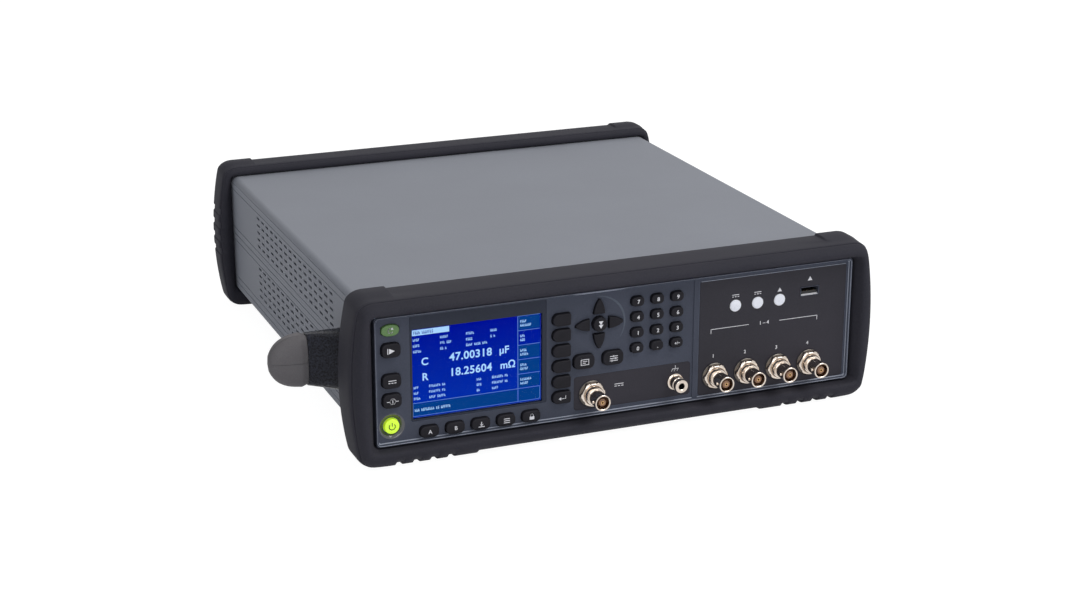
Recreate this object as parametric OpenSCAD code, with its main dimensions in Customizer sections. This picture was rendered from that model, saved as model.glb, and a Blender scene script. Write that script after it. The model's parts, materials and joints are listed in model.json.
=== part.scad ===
// Benchtop component tester, millimetres, +Z up, front towards -Y.
// Each piece is drawn in a design frame: x = 0 at the middle of the panel,
// y = 0 at the panel's face, z = 0 at the table. in_row_frame() then shifts
// it so that the origin lies under the middle of the whole object.

/* [Case] */
// Width of the metal case
case_w = 319; // [318:1:345]
// Height of the metal case
case_h = 84; // [84:1:100]
// Length of the case cover, front to back
case_len = 310; // [300:1:360]
// Thickness of the case sheet
case_wall = 1.2; // [0.8:0.1:1.6]
// Corner radius of the case
case_r = 4; // [3:0.5:5]
// Height of the case's underside above the table
case_lift = 13; // [10:0.5:18]
// Thickness of the chassis sheet
chassis_wall = 1.2; // [0.8:0.1:1.6]

/* [Vents] */
// Slots in one row
slot_count = 16; // [8:1:18]
// Rows of slots in one group
slot_rows = 5; // [3:1:5]
// Distance from slot to slot along the case
slot_pitch = 11.5; // [10:0.5:12]
// Distance from row to row
slot_row_pitch = 5; // [4:0.5:5.5]
// Length of one slot
slot_len = 7; // [5:0.5:8.5]
// Height of one slot
slot_h = 1.6; // [1:0.2:2.4]
// Distance of the first slot from the panel's face
slot_first_y = 76; // [72:1:84]

/* [Panel] */
// Thickness of the moulded panel
panel_t = 2.5; // [2:0.1:3]
// Thickness of the rim
rim_t = 1.5; // [1:0.1:1.6]
// How far the rim stands in front of the panel
rim_proud = 1.5; // [0.5:0.5:2.5]
// Depth of the bezel behind the panel's face
bezel_depth = 16; // [16:0.5:20]
// Thickness of the dark terminal plates
plate_t = 0.8; // [0.5:0.1:1]

/* [Display] */
// Width of the lit display area
lcd_w = 80.6; // [76:0.2:82]
// Height of the lit display area
lcd_h = 54.8; // [50:0.2:55]
// Thickness of the window pane
pane_t = 1.5; // [1:0.1:1.6]
// Depth of the display module
lcd_depth = 10; // [8:0.5:12]

/* [Keys] */
// How far a key stands in front of the panel
key_proud = 3; // [2:0.2:4]
// How far a key travels
key_travel = 1.2; // [0.8:0.1:1.2]
// Width of a digit key
digit_w = 8.2; // [7:0.1:9]
// Height of a digit key
digit_h = 6; // [5:0.1:6.6]
// Distance between digit columns
digit_pitch_x = 13.2; // [12:0.1:13.4]
// Distance between digit rows
digit_pitch_z = 9.95; // [9:0.05:10.2]
// Width of a softkey
soft_w = 11.7; // [10:0.1:12]
// Height of a softkey
soft_h = 7.6; // [6.5:0.1:7.8]
// Distance between softkeys
soft_pitch = 9.88; // [9.6:0.02:9.9]
// Width of a key below the display
low_w = 11.7; // [10:0.1:12.4]
// Height of a key below the display
low_h = 7.1; // [6:0.1:7.1]
// Distance between keys below the display
low_pitch = 16.1; // [15:0.1:16.4]
// Width of a key at the panel's left end
end_w = 11.5; // [10:0.1:11.6]
// Height of a key at the panel's left end
end_h = 8.6; // [7:0.1:8.8]
// Width of a function key
function_w = 13.4; // [12:0.1:14]
// Height of a function key
function_h = 9; // [8:0.1:9.5]
// Length of a cursor key
cursor_len = 9.3; // [8:0.1:9.5]
// Width of a cursor key
cursor_w = 7.3; // [6:0.1:7.6]
// Radius of the enter key
enter_r = 4.5; // [4:0.1:4.8]
// Radius of the power key
power_r = 4.6; // [4:0.1:4.8]

/* [Terminals] */
// Distance between neighbouring jacks
jack_pitch = 22; // [21:0.5:22.5]
// Reach of a jack in front of the panel
jack_reach = 18; // [16:0.5:20]
// Radius of a jack's bayonet barrel
jack_r = 4.85; // [4.7:0.05:5]
// Radius of a jack's threaded barrel
jack_thread_r = 6; // [5.8:0.1:6.4]
// Width across flats of a jack's nut
jack_nut_af = 14.6; // [14:0.2:16]
// Radius of the ground terminal
ground_r = 4.4; // [4:0.1:5]
// Reach of the ground terminal
ground_reach = 10.5; // [8:0.5:12]
// Radius of the plug hole in the ground terminal
ground_bore_r = 2; // [2:0.05:2.2]
// Radius of an indicator lens
lamp_r = 3.8; // [3:0.1:4.2]
// Distance between indicator lenses
lamp_pitch = 15.3; // [13:0.1:16]
// Outer width of the front USB port
usb_w = 13.2; // [12.6:0.1:13.6]
// Outer height of the front USB port
usb_h = 6.2; // [5.6:0.1:6.6]

/* [Bumpers] */
// How far a bumper rises above the case
bumper_over = 6.5; // [5:0.5:9]
// How far a bumper's side stands out from the case at its fullest
bumper_side = 13; // [11:0.5:15]
// Bow of a bumper's side
bumper_bow = 4.5; // [3:0.5:6]
// Reach of the front bumper in front of the panel
bumper_front = 8; // [6:0.5:10]
// Reach of the front bumper behind the panel
bumper_back = 22; // [20:0.5:26]
// How much less the rear bumper stands out at each side
rear_bumper_in = 2; // [0:0.5:3]
// Depth of the finger grooves in the rear bumper's sides
side_groove_depth = 0.8; // [0.4:0.1:1.2]
// Length of the rear bumper
rear_bumper_len = 25; // [22:1:34]
// Radius of a bumper's lower corners
bumper_low_r = 14; // [12:0.5:17]
// Radius of a bumper's upper corners
bumper_top_r = 12; // [8:0.5:13]
// Height of the stacking pads
pad_h = 1.3; // [0.8:0.1:2]
// Length of a foot from the bumper's side
foot_len = 77; // [70:1:90]
// Relief under the bumper between the feet
foot_relief = 1.6; // [1:0.2:2.4]
// Depth of the grooves in a foot
groove_depth = 1.2; // [0.8:0.1:1.8]

/* [Grip] */
// Reach of the side grip from the case
grip_reach = 47.5; // [40:0.5:56]
// Thickness of the side grip, front to back
grip_t = 14; // [14:0.5:18]
// Height of the side grip
grip_h = 31; // [28:0.5:36]
// Length of the grip's dark neck
grip_neck = 24; // [20:0.5:26]

/* [Inside] */
// Side of the square fan
fan_size = 60; // [50:1:60]
// Depth of the fan
fan_depth = 15; // [12:0.5:20]
// Blades on the fan rotor
fan_blades = 7; // [5:1:9]
// Thickness of a circuit board
board_t = 1.6; // [1.2:0.1:1.8]
// Width of the power supply
supply_w = 55.5; // [50:0.5:58]
// Height of the power supply
supply_h = 62; // [50:1:64]
// Height of the main board above the chassis floor
standoff_h = 6.6; // [5:0.2:7]
// Radius of a machine screw's shank
screw_r = 1.5; // [1.3:0.05:1.6]

/* [Fits] */
// Gap between a key and its hole, all round
key_gap = 0.35; // [0.3:0.05:0.5]
// Gap between moving or soft pieces and their seats
seat_gap = 0.3; // [0.25:0.05:0.4]
// Gap between fixed pieces that plug together
fit_gap = 0.15; // [0.1:0.05:0.2]
// Radial gap of a shaft in its bore
shaft_gap = 0.05; // [0.03:0.01:0.08]
// Gap that keeps two stacked pieces apart
stack_gap = 0.05; // [0.02:0.01:0.08]

/* [Hidden] */
$fn = 48;
over = 1;                    // how far a cut runs past the face it cuts

// Case, in the design frame
case_z0 = case_lift;
case_z1 = case_lift + case_h;
case_mid_z = (case_z0 + case_z1) / 2;
sleeve_y0 = bezel_depth;
sleeve_y1 = bezel_depth + case_len;
inner_x = case_w / 2 - case_wall;
floor_z = case_z0 + case_wall;
vent_low_z = case_z0 + 16.2;
vent_high_z = vent_low_z + (slot_rows - 1) * slot_row_pitch + 16.2;
groove_h = 0.7;
groove_cut = 0.3;
groove_step = 4.6;
groove_margin = 6;

// Chassis
chassis_x = inner_x - seat_gap;
chassis_z1 = floor_z + chassis_wall;
chassis_lip = 12;
front_wall_y1 = bezel_depth + chassis_wall;
front_wall_x = case_w / 2 - 8;
front_wall_z1 = case_z1 - 6;
rear_inset = 4;
rear_panel_t = 1.5;
rear_y0 = sleeve_y1 - rear_inset;
rear_y1 = rear_y0 + rear_panel_t;
tab_w = 12;
tab_h = 12;
tab_depth = 9;
tab_xs = [-case_w / 2 + 20, 20, case_w / 2 - 14];

// Panel
panel_x = case_w / 2 - 2.5;
panel_left = -panel_x;
rim_z0 = case_z0 + 0.5;
rim_z1 = case_z1 - 3.5;
rim_h = rim_z1 - rim_z0;
rim_r = 2;
flange_y0 = bezel_depth - 8;

// Key stack, front to back
flange_lip = 0.6;
flange_t = 1.2;
stem_t = 0.9;
stem_r = 1.6;
dome_t = 0.8;
dome_gap = 0.2;
mat_t = 1;
flange_y = panel_t + seat_gap;
stem_y1 = flange_y + flange_t + stem_t;
dome_y0 = stem_y1 + key_travel + dome_gap;
mat_y0 = dome_y0 + dome_t;
board_y0 = mat_y0 + mat_t;
board_y1 = board_y0 + board_t;

// Left end of the panel
end_x = panel_left + 10;
preset_z = rim_z0 + 71.5;
trigger_z = rim_z0 + 59.5;
bias_z = rim_z0 + 40.5;
source_z = rim_z0 + 28.3;
power_z = rim_z0 + 11.8;
power_dish_r = 7.6;
power_dish_t = 1.6;
power_step = 0.4;

// Display
lcd_x0 = panel_left + 23.8;
lcd_x1 = lcd_x0 + lcd_w;
lcd_z0 = rim_z0 + 14.5;
lcd_z1 = lcd_z0 + lcd_h;
pane_x0 = lcd_x0 - 1.7;
pane_x1 = lcd_x1 + 3.1;
pane_z0 = lcd_z0 - 1.7;
pane_z1 = lcd_z1 + 8.7;
pane_y1 = pane_t + 0.1;
module_x0 = lcd_x0 - 4.3;
module_x1 = lcd_x1 + 4.1;
module_z0 = lcd_z0 - 3.7;
module_z1 = lcd_z1 + 4.7;
module_y1 = panel_t + lcd_depth;
glass_margin = 1;
glass_t = 1.2;
glass_y1 = panel_t + glass_t + 0.2;

// Keys round the display
low_x0 = lcd_x0 + 8.9;
low_z = rim_z0 + 5.85;
soft_x = lcd_x1 + 12.4;
soft_z0 = rim_z0 + 15;

// Cursor cluster, function keys and digits
cursor_x = soft_x + 24.9;
cursor_z = rim_z0 + 58.4;
cursor_inner = 6.3;
cursor_dish_r = 17.4;
cursor_dish_t = 0.9;
petal_proud = 1.5;
function_x0 = soft_x + 14.6;
function_pitch = 19;
function_z = rim_z0 + 36;
digit_x0 = soft_x + 49.5;
digit_z0 = rim_z0 + 40;

// Divider and terminal side
ridge_x0 = digit_x0 + 2 * digit_pitch_x + 12.1;
ridge_x1 = ridge_x0 + 3.4;
ridge_proud = 0.6;
plate_x0 = ridge_x1 + 0.8;
plate_x1 = panel_x - 3.4;
plate_z0 = rim_z0 + 2.2;
plate_z1 = rim_z1 - 3.3;
plate_r = 2;
low_plate_x0 = soft_x + 8.8;
low_plate_x1 = ridge_x0 - 1.6;
low_plate_z0 = rim_z0 + 4.4;
low_plate_z1 = rim_z0 + 25.9;
jack_x0 = plate_x0 + 11;
jack_z = rim_z0 + 14.2;
source_jack_x = low_plate_x0 + 11.5;
jack_places = [for (i = [0:4]) i < 4 ? jack_x0 + i * jack_pitch : source_jack_x];
jack_bore_r = 4.05;
jack_base_r = 7.8;
jack_base_y1 = panel_t + 6.5;
jack_tail_y1 = jack_base_y1 + 3;
jack_neck_y = -6.2;
washer_t = 0.9;
washer_r = 8.3;
nut_t = 3;
core_r = 2.4;
contact_r = 1.1;
contact_y1 = jack_tail_y1 + 2;
contact_bore_r = 0.7;
contact_bore_t = 6;
ground_x = low_plate_x1 - 10.3;
ground_thread_r = 3;
ground_nut_af = 9;
ground_nut_t = 2.6;
ground_y1 = panel_t + ground_nut_t + 2;
lamp_x0 = plate_x0 + 24.3;
lamp_z = rim_z0 + 58.2;
usb_x = plate_x0 + 76;
usb_z = rim_z0 + 61.4;
usb_y0 = -0.3;
usb_depth = 14;
usb_wall = 0.5;
tongue_t = 1.9;

// Bosses behind the panel, as [x, z]
boss_r = 3.2;
boss_step_r = 4;
bosses = [
    [end_x, (trigger_z + bias_z) / 2],
    [(end_x + power_r + low_x0 - low_w / 2) / 2, low_z - 1],
    [soft_x - soft_w / 2, low_z - 1],
    [digit_x0 - 1.3, rim_z0 + 28],
    [ridge_x0 - 1.5, lamp_z - 2],
    [plate_x1 - 6, plate_z1 - 6],
    [plate_x1 - 6, rim_z0 + 36]
];
screw_bite = 9;

// Front board and mat
mat_x0 = panel_left + rim_t + 1;
mat_x1 = ridge_x0 - 4;
mat_z0 = rim_z0 + rim_t + 0.5;
mat_z1 = rim_z1 - rim_t - 0.5;
front_board_x1 = plate_x1 - 12;
terminal_bay_z1 = rim_z0 + 46;

// Bumpers
bumper_x = case_w / 2 + bumper_side;
bumper_h = case_z1 + bumper_over;
bow_z = bumper_h / 2;
bow_half = bow_z - 8;
bow_r = (bow_half * bow_half + bumper_bow * bumper_bow) / (2 * bumper_bow);
groove_w = 4.2;
groove_pitch = 10.8;
groove_first = 28.5;
pad_w = 22;
pad_edge = 8;
front_chamfer = 5;
rear_bumper_y0 = sleeve_y1 - 9;
rear_bumper_y1 = rear_bumper_y0 + rear_bumper_len;
rear_round = 8;
rear_lip = 4;
rear_bumper_x = bumper_x - rear_bumper_in;
top_corner_in = 3;
low_corner_in = 2;
side_groove_w = 4.6;
side_groove_pitch = 9.7;
side_groove_z = bow_z + 5;

// Grip
grip_x0 = -case_w / 2;
grip_y = bumper_back + 22 + grip_t / 2;
grip_z = case_mid_z;
grip_r = 6;
grip_foot_t = grip_t + 16;   // the neck widens towards the case
grip_foot_h = grip_h + 6;
grip_foot_y = grip_y - 6;
grip_foot_z = grip_z - 1.5;
tongue_len = 13;
shell_wall = 2.6;
shell_x0 = grip_x0 - grip_neck - fit_gap;
shell_x1 = grip_x0 - grip_reach;
grip_screw_z = 8;
grip_screw_r = 2;
grip_screw_bite = 14;

// Main board
main_x0 = -case_w / 2 + 10;
supply_x1 = case_w / 2 - 8;
supply_x0 = supply_x1 - supply_w;
main_x1 = supply_x0 - 6;
main_y0 = front_wall_y1 + 7;
main_y1 = rear_y0 - tab_depth - 2;
main_z0 = chassis_z1 + standoff_h;
main_z1 = main_z0 + board_t;
standoff_r = 3.5;
standoffs = [
    [main_x0 + 6, main_y0 + 6],
    [main_x1 - 6, main_y0 + 6],
    [main_x0 + 6, main_y1 - 26],
    [main_x1 - 6, main_y1 - 26],
    [(main_x0 + main_x1) / 2, (main_y0 + main_y1) / 2]
];

// Power supply
supply_y0 = front_wall_y1 + 42.8;
supply_y1 = rear_y0 - 34;
supply_wall = 1.5;

// Fan
fan_x = main_x1 - 30;
fan_z = main_z1 + 2.4 + fan_size / 2;
fan_y1 = rear_y0;
fan_y0 = rear_y0 - fan_depth;
fan_bore_r = fan_size / 2 - 1.6;
fan_hub_r = 12.5;
fan_tip_r = fan_bore_r - 0.8;
fan_base_t = 2.4;
fan_shaft_r = 1.5;
fan_bolt = fan_size / 2 - 5;
fan_screw_r = 1.9;
guard_t = 0.8;
guard_lip = 0.8;

// Rear sockets, as places across the rear panel
inlet_x = (supply_x0 + supply_x1) / 2 + 6;
inlet_z = floor_z + 27;
inlet_w = 27;
inlet_h = 19.5;
lan_x = main_x0 + 30;
lan_w = 16;
lan_h = 13.5;
usb_b_w = 12;
usb_b_h = 11;
bus_w = 54;
bus_h = 13;
rear_jack_x = fan_x - fan_size / 2 - jack_base_r - 1.7;
rear_jack_z = main_z1 + 14;
rear_room = rear_jack_x - jack_base_r - lan_x - lan_w / 2 - usb_b_w - bus_w;
usb_b_x = lan_x + lan_w / 2 + rear_room / 3 + usb_b_w / 2;
bus_x = usb_b_x + usb_b_w / 2 + rear_room / 3 + bus_w / 2;
socket_wall = 1.1;
socket_proud = 1;

// Row frame
min_x = shell_x1;
max_x = bumper_x;
min_y = -jack_reach;
max_y = rear_bumper_y1;
mid_x = (min_x + max_x) / 2;
mid_y = (min_y + max_y) / 2;

// Colours
rubber_dark = [0.19, 0.18, 0.19];
case_grey = [0.50, 0.51, 0.54];
panel_blue = [0.27, 0.28, 0.33];
plate_dark = [0.20, 0.19, 0.20];
key_dark = [0.13, 0.13, 0.13];
board_green = [0.07, 0.30, 0.16];
zinc = [0.66, 0.67, 0.68];
nickel = [0.78, 0.74, 0.70];

// Keys as [name, x, z, outline, how proud, colour]
side_keys = [
    ["key_preset", end_x, preset_z, "oval", petal_proud, [0.37, 0.51, 0.29]],
    ["key_trigger", end_x, trigger_z, "end", key_proud, key_dark],
    ["key_bias", end_x, bias_z, "end", key_proud, key_dark],
    ["key_source", end_x, source_z, "end", key_proud, key_dark],
    ["key_power", end_x, power_z, "power", 0.8, [0.80, 0.96, 0.20]]
];
soft_keys = [for (i = [0:5])
    [str("key_soft_", i + 1), soft_x, soft_z0 + (5 - i) * soft_pitch, "soft", key_proud, key_dark]];
low_keys = [for (i = [0:4])
    [str("key_low_", i + 1), low_x0 + i * low_pitch, low_z, "low", key_proud, key_dark]];
cursor_keys = [
    ["key_up", cursor_x, cursor_z, "up", petal_proud, key_dark],
    ["key_left", cursor_x, cursor_z, "left", petal_proud, key_dark],
    ["key_down", cursor_x, cursor_z, "down", petal_proud, key_dark],
    ["key_right", cursor_x, cursor_z, "right", petal_proud, key_dark],
    ["key_enter", cursor_x, cursor_z, "enter", key_proud, key_dark]
];
function_keys = [for (i = [0:1])
    [str("key_function_", i + 1), function_x0 + i * function_pitch, function_z,
     "function", key_proud, key_dark]];
digit_names = ["key_0", "key_point", "key_sign", "key_1", "key_2", "key_3",
               "key_4", "key_5", "key_6", "key_7", "key_8", "key_9"];
digit_keys = [for (i = [0:11])
    [digit_names[i], digit_x0 + (i % 3) * digit_pitch_x, digit_z0 + floor(i / 3) * digit_pitch_z,
     "digit", key_proud, key_dark]];
keys = concat(side_keys, soft_keys, low_keys, cursor_keys, function_keys, digit_keys);

// Shifts the design frame to the row frame
module in_row_frame() {
    translate([-mid_x, -mid_y, 0]) children();
}

// Stands an (x, z) outline up and gives it the depth y0 to y1
module along_y(y0, y1) {
    translate([0, y1, 0]) rotate([90, 0, 0]) linear_extrude(height = y1 - y0) children();
}

// Lays a (y, z) outline along X from x0 to x1
module along_x(x0, x1) {
    translate([x0, 0, 0]) rotate([90, 0, 90]) linear_extrude(height = x1 - x0) children();
}

// Box from one corner to the other
module block(low, high) {
    translate(low) cube(high - low);
}

// Rectangle with round corners, between two corners
module round_box(x0, x1, z0, z1, r) {
    translate([x0 + r, z0]) square([x1 - x0 - 2 * r, z1 - z0]);
    translate([x0, z0 + r]) square([x1 - x0, z1 - z0 - 2 * r]);
    for (x = [x0 + r, x1 - r], z = [z0 + r, z1 - r]) translate([x, z]) circle(r = r);
}

// Rectangle with round corners about its middle
module round_rect(w, h, r) {
    round_box(-w / 2, w / 2, -h / 2, h / 2, r);
}

// Cylinder along Y from y0 to y1 at (x, z)
module rod_y(x, z, r, y0, y1) {
    translate([x, y1, z]) rotate([90, 0, 0]) cylinder(r = r, h = y1 - y0);
}

// Hexagonal prism along Y with the given width across flats
module hex_y(x, z, af, y0, y1) {
    translate([x, y1, z]) rotate([90, 0, 0]) cylinder(r = af / sqrt(3), h = y1 - y0, $fn = 6);
}

// Case outline, grown by a gap
module case_outline(grow) {
    round_box(-case_w / 2 - grow, case_w / 2 + grow, case_z0 - grow, case_z1 + grow, case_r + grow);
}

// Oval with half axes a and b: bowed top and bottom, round ends
module oval(a, b) {
    bow = 2.5 * b;
    intersection() {
        round_rect(2 * a, 2 * b, 0.93 * b);
        translate([0, b - bow]) circle(r = bow);
        translate([0, bow - b]) circle(r = bow);
    }
}

// Cursor key, pointing along +z from the middle of its cluster
module petal(grow) {
    blunt = 0.7;
    w = cursor_w + 2 * grow;
    h = cursor_len + 2 * grow + blunt;
    r = (h * h + w * w / 4) / w;
    translate([0, cursor_inner - grow]) intersection() {
        translate([r - w / 2, 0]) circle(r = r);
        translate([w / 2 - r, 0]) circle(r = r);
        circle(r = h - blunt);
        translate([-w, 0]) square([2 * w, h]);
    }
}

// Softkey: round towards the display, square at the other end
module soft_outline(grow) {
    w = soft_w / 2 + grow;
    h = soft_h / 2 + grow;
    r = soft_h / 2 - 0.2 + grow;
    small = 1.2 + grow;
    for (s = [-1, 1]) translate([r - w, s * (h - r)]) circle(r = r);
    for (s = [-1, 1]) translate([w - small, s * (h - small)]) circle(r = small);
    translate([r - w, -h]) square([2 * w - r - small, 2 * h]);
    translate([0, small - h]) square([w, 2 * (h - small)]);
}

// Outline of a key, about its own place
module key_outline(shape, grow) {
    if (shape == "oval") oval(end_w / 2 - 0.2 + grow, 3.6 + grow);
    if (shape == "end") round_rect(end_w + 2 * grow, end_h + 2 * grow, 3 + grow);
    if (shape == "power") circle(r = power_r + grow);
    if (shape == "soft") soft_outline(grow);
    if (shape == "low") round_rect(low_w + 2 * grow, low_h + 2 * grow, 2.8 + grow);
    if (shape == "up") petal(grow);
    if (shape == "left") rotate(90) petal(grow);
    if (shape == "down") rotate(180) petal(grow);
    if (shape == "right") rotate(-90) petal(grow);
    if (shape == "enter") circle(r = enter_r + grow);
    if (shape == "function") round_rect(function_w + 2 * grow, function_h + 2 * grow, 3.4 + grow);
    if (shape == "digit") round_rect(digit_w + 2 * grow, digit_h + 2 * grow, 2.4 + grow);
}

// Where a key's stem stands, from the key's own place
function stem_shift(shape) =
    let (d = cursor_inner + cursor_len * 0.4)
    shape == "up" ? [0, d] : shape == "down" ? [0, -d] :
    shape == "left" ? [-d, 0] : shape == "right" ? [d, 0] : [0, 0];

// One key: cap, retaining flange behind the panel, and stem
module key_solid(k) {
    shift = stem_shift(k[3]);
    in_row_frame() color(k[5]) {
        translate([k[1], 0, k[2]]) {
            along_y(-k[4], flange_y + flange_t) key_outline(k[3], 0);
            along_y(flange_y, flange_y + flange_t) key_outline(k[3], flange_lip);
            rod_y(shift[0], shift[1], stem_r, flange_y + flange_t - 0.1, stem_y1);
        }
    }
}

// Fine grooves along both sides of the case
module side_grooves() {
    spots = concat(
        [for (i = [0:1]) case_z1 - groove_margin + 2.6 - i * groove_step],
        [for (i = [0:1]) case_z0 + groove_margin + 1 + i * groove_step],
        [for (i = [0:2]) (vent_low_z + (slot_rows - 1) * slot_row_pitch + vent_high_z) / 2
            + (i - 1) * groove_step - 0.8]);
    for (z = spots, s = [-1, 1])
        translate([s * case_w / 2 - groove_cut, sleeve_y0 - over, z - groove_h / 2])
            cube([2 * groove_cut, case_len + 2 * over, groove_h]);
}

module case_cover() {
    in_row_frame() color(case_grey) difference() {
        along_y(sleeve_y0, sleeve_y1) difference() {
            case_outline(0);
            case_outline(-case_wall);
        }
        along_x(-case_w / 2 - over, case_w / 2 + over)
            for (i = [0:slot_count - 1], j = [0:slot_rows - 1], base = [vent_low_z, vent_high_z])
                translate([slot_first_y + i * slot_pitch - slot_len / 2,
                           base + j * slot_row_pitch - slot_h / 2])
                    square([slot_len, slot_h]);
        side_grooves();
        for (s = [-1, 1]) grip_screw_hole(s, grip_screw_r + seat_gap);
    }
}

// Hole along X through the case's left side for a grip screw
module grip_screw_hole(s, r) {
    translate([-case_w / 2 - over, grip_y, grip_z + s * grip_screw_z])
        rotate([0, 90, 0]) cylinder(r = r, h = case_wall + 2 * over);
}

// Cross section of the chassis tray
module tray_outline() {
    x = chassis_x - chassis_wall;
    difference() {
        round_box(-chassis_x, chassis_x, floor_z, case_z1, case_r);
        round_box(-x, x, chassis_z1, case_z1 + over, case_r - chassis_wall);
        translate([-case_w, floor_z + chassis_lip]) square([2 * case_w, case_h]);
    }
}

module chassis() {
    in_row_frame() color(zinc) difference() {
        union() {
            along_y(sleeve_y0, rear_y0) tray_outline();
            block([-front_wall_x, sleeve_y0, floor_z], [front_wall_x, front_wall_y1, front_wall_z1]);
            for (x = tab_xs)
                block([x - tab_w / 2, rear_y0 - tab_depth, floor_z],
                      [x + tab_w / 2, rear_y0, floor_z + tab_h]);
            for (p = standoffs)
                translate([p[0], p[1], floor_z]) cylinder(r = standoff_r, h = main_z0 - floor_z);
        }
        for (b = bosses) rod_y(b[0], b[1], screw_r + seat_gap, sleeve_y0 - over, front_wall_y1 + over);
        for (x = tab_xs)
            rod_y(x, floor_z + tab_h / 2, screw_r + shaft_gap, rear_y0 - tab_depth + 1, rear_y0 + over);
        for (p = standoffs)
            translate([p[0], p[1], chassis_z1]) cylinder(r = screw_r + shaft_gap, h = standoff_h + over);
        block([lcd_x0, sleeve_y0 - over, lcd_z0], [lcd_x1, front_wall_y1 + over, lcd_z1]);
        block([jack_x0 - 9, sleeve_y0 - over, jack_z - 6],
              [jack_x0 + 3 * jack_pitch + 9, front_wall_y1 + over, jack_z + 9]);
    }
}

// Round finger guard: slots cut within a circle
module fan_slots() {
    bar = 2.2;
    step = 5;
    intersection() {
        circle(r = fan_bore_r - guard_lip);
        for (i = [-6:6]) translate([i * step - (step - bar) / 2, -fan_size / 2])
            square([step - bar, fan_size]);
    }
}

module rear_panel() {
    in_row_frame() color(zinc) difference() {
        along_y(rear_y0, rear_y1) case_outline(-case_wall - seat_gap);
        rod_y(fan_x, fan_z, fan_bore_r, rear_y0 - over, rear_y1 + over);
        for (sx = [-1, 1], sz = [-1, 1])
            rod_y(fan_x + sx * fan_bolt, fan_z + sz * fan_bolt, fan_screw_r + seat_gap,
                  rear_y0 - over, rear_y1 + over);
        for (x = tab_xs)
            rod_y(x, floor_z + tab_h / 2, screw_r + seat_gap, rear_y0 - over, rear_y1 + over);
        along_y(rear_y0 - over, rear_y1 + over) {
            socket_hole(inlet_x, inlet_z, inlet_w, inlet_h);
            socket_hole(lan_x, main_z1 + lan_h / 2, lan_w, lan_h);
            socket_hole(usb_b_x, main_z1 + usb_b_h / 2, usb_b_w, usb_b_h);
            socket_hole(bus_x, main_z1 + bus_h / 2, bus_w, bus_h);
            translate([rear_jack_x, rear_jack_z]) circle(r = jack_thread_r + seat_gap);
        }
    }
}

// Slotted plate over the fan, on the back of the rear panel
module fan_guard() {
    in_row_frame() color(zinc) translate([fan_x, 0, fan_z]) along_y(rear_y1, rear_y1 + guard_t) difference() {
        round_rect(fan_size, fan_size, 4);
        fan_slots();
        for (sx = [-1, 1], sz = [-1, 1])
            translate([sx * fan_bolt, sz * fan_bolt]) circle(r = fan_screw_r + seat_gap);
    }
}

module socket_hole(x, z, w, h) {
    translate([x, z]) square([w + 2 * fit_gap, h + 2 * fit_gap], center = true);
}

module front_bezel() {
    in_row_frame() color(panel_blue) difference() {
        union() {
            along_y(0, panel_t) round_box(-panel_x, panel_x, rim_z0, rim_z1, rim_r);
            along_y(-rim_proud, bezel_depth) difference() {
                round_box(-panel_x, panel_x, rim_z0, rim_z1, rim_r);
                round_box(-panel_x + rim_t, panel_x - rim_t, rim_z0 + rim_t, rim_z1 - rim_t, 1);
            }
            along_y(flange_y0, bezel_depth) difference() {
                case_outline(0);
                round_box(-panel_x + rim_t, panel_x - rim_t, rim_z0 + rim_t, rim_z1 - rim_t, 1);
            }
            for (b = bosses) {
                rod_y(b[0], b[1], boss_step_r, panel_t - 0.1, board_y0);
                rod_y(b[0], b[1], boss_r, panel_t - 0.1, bezel_depth);
            }
            along_y(-ridge_proud, panel_t) translate([ridge_x0, rim_z0 + rim_t - 0.1])
                square([ridge_x1 - ridge_x0, rim_h - 2 * rim_t + 0.2]);
        }
        for (b = bosses)
            rod_y(b[0], b[1], screw_r + shaft_gap, bezel_depth - screw_bite - 1, bezel_depth + over);
        cursor_dish();
        power_dish();
        for (k = keys) translate([k[1], 0, k[2]])
            along_y(-over, panel_t + over) key_outline(k[3], key_gap);
        along_y(-over, panel_t + over)
            translate([lcd_x0 - 0.7, lcd_z0 - 0.7]) square([lcd_w + 1.4, lcd_h + 1.4]);
        along_y(-over, pane_y1)
            round_box(pane_x0 - fit_gap, pane_x1 + fit_gap, pane_z0 - fit_gap, pane_z1 + fit_gap, 1);
        along_y(-over, plate_t) {
            round_box(plate_x0 - fit_gap, plate_x1 + fit_gap, plate_z0 - fit_gap,
                      plate_z1 + fit_gap, plate_r);
            round_box(low_plate_x0 - fit_gap, low_plate_x1 + fit_gap, low_plate_z0 - fit_gap,
                      low_plate_z1 + fit_gap, plate_r);
        }
        along_y(-over, panel_t + over) terminal_holes();
    }
}

// Shallow dish behind the cursor keys
module cursor_dish() {
    ball_r = (cursor_dish_r * cursor_dish_r + cursor_dish_t * cursor_dish_t) / (2 * cursor_dish_t);
    translate([cursor_x, cursor_dish_t - ball_r, cursor_z]) sphere(r = ball_r, $fn = 96);
}

// Coned dish round the power key
module power_dish() {
    translate([end_x, power_dish_t, power_z]) rotate([90, 0, 0])
        cylinder(r1 = power_r + key_gap + power_step, r2 = power_dish_r, h = power_dish_t);
}

// Holes through the plates and the panel for the terminals
module terminal_holes() {
    for (x = jack_places) translate([x, jack_z]) circle(r = jack_thread_r + seat_gap);
    translate([ground_x, jack_z]) circle(r = ground_thread_r + seat_gap);
    for (i = [0:2]) translate([lamp_x0 + i * lamp_pitch, lamp_z]) circle(r = lamp_r + seat_gap);
    socket_hole(usb_x, usb_z, usb_w, usb_h);
}

module terminal_plates() {
    in_row_frame() color(plate_dark) along_y(0, plate_t) difference() {
        union() {
            round_box(plate_x0, plate_x1, plate_z0, plate_z1, plate_r);
            round_box(low_plate_x0, low_plate_x1, low_plate_z0, low_plate_z1, plate_r);
        }
        terminal_holes();
    }
}

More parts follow.
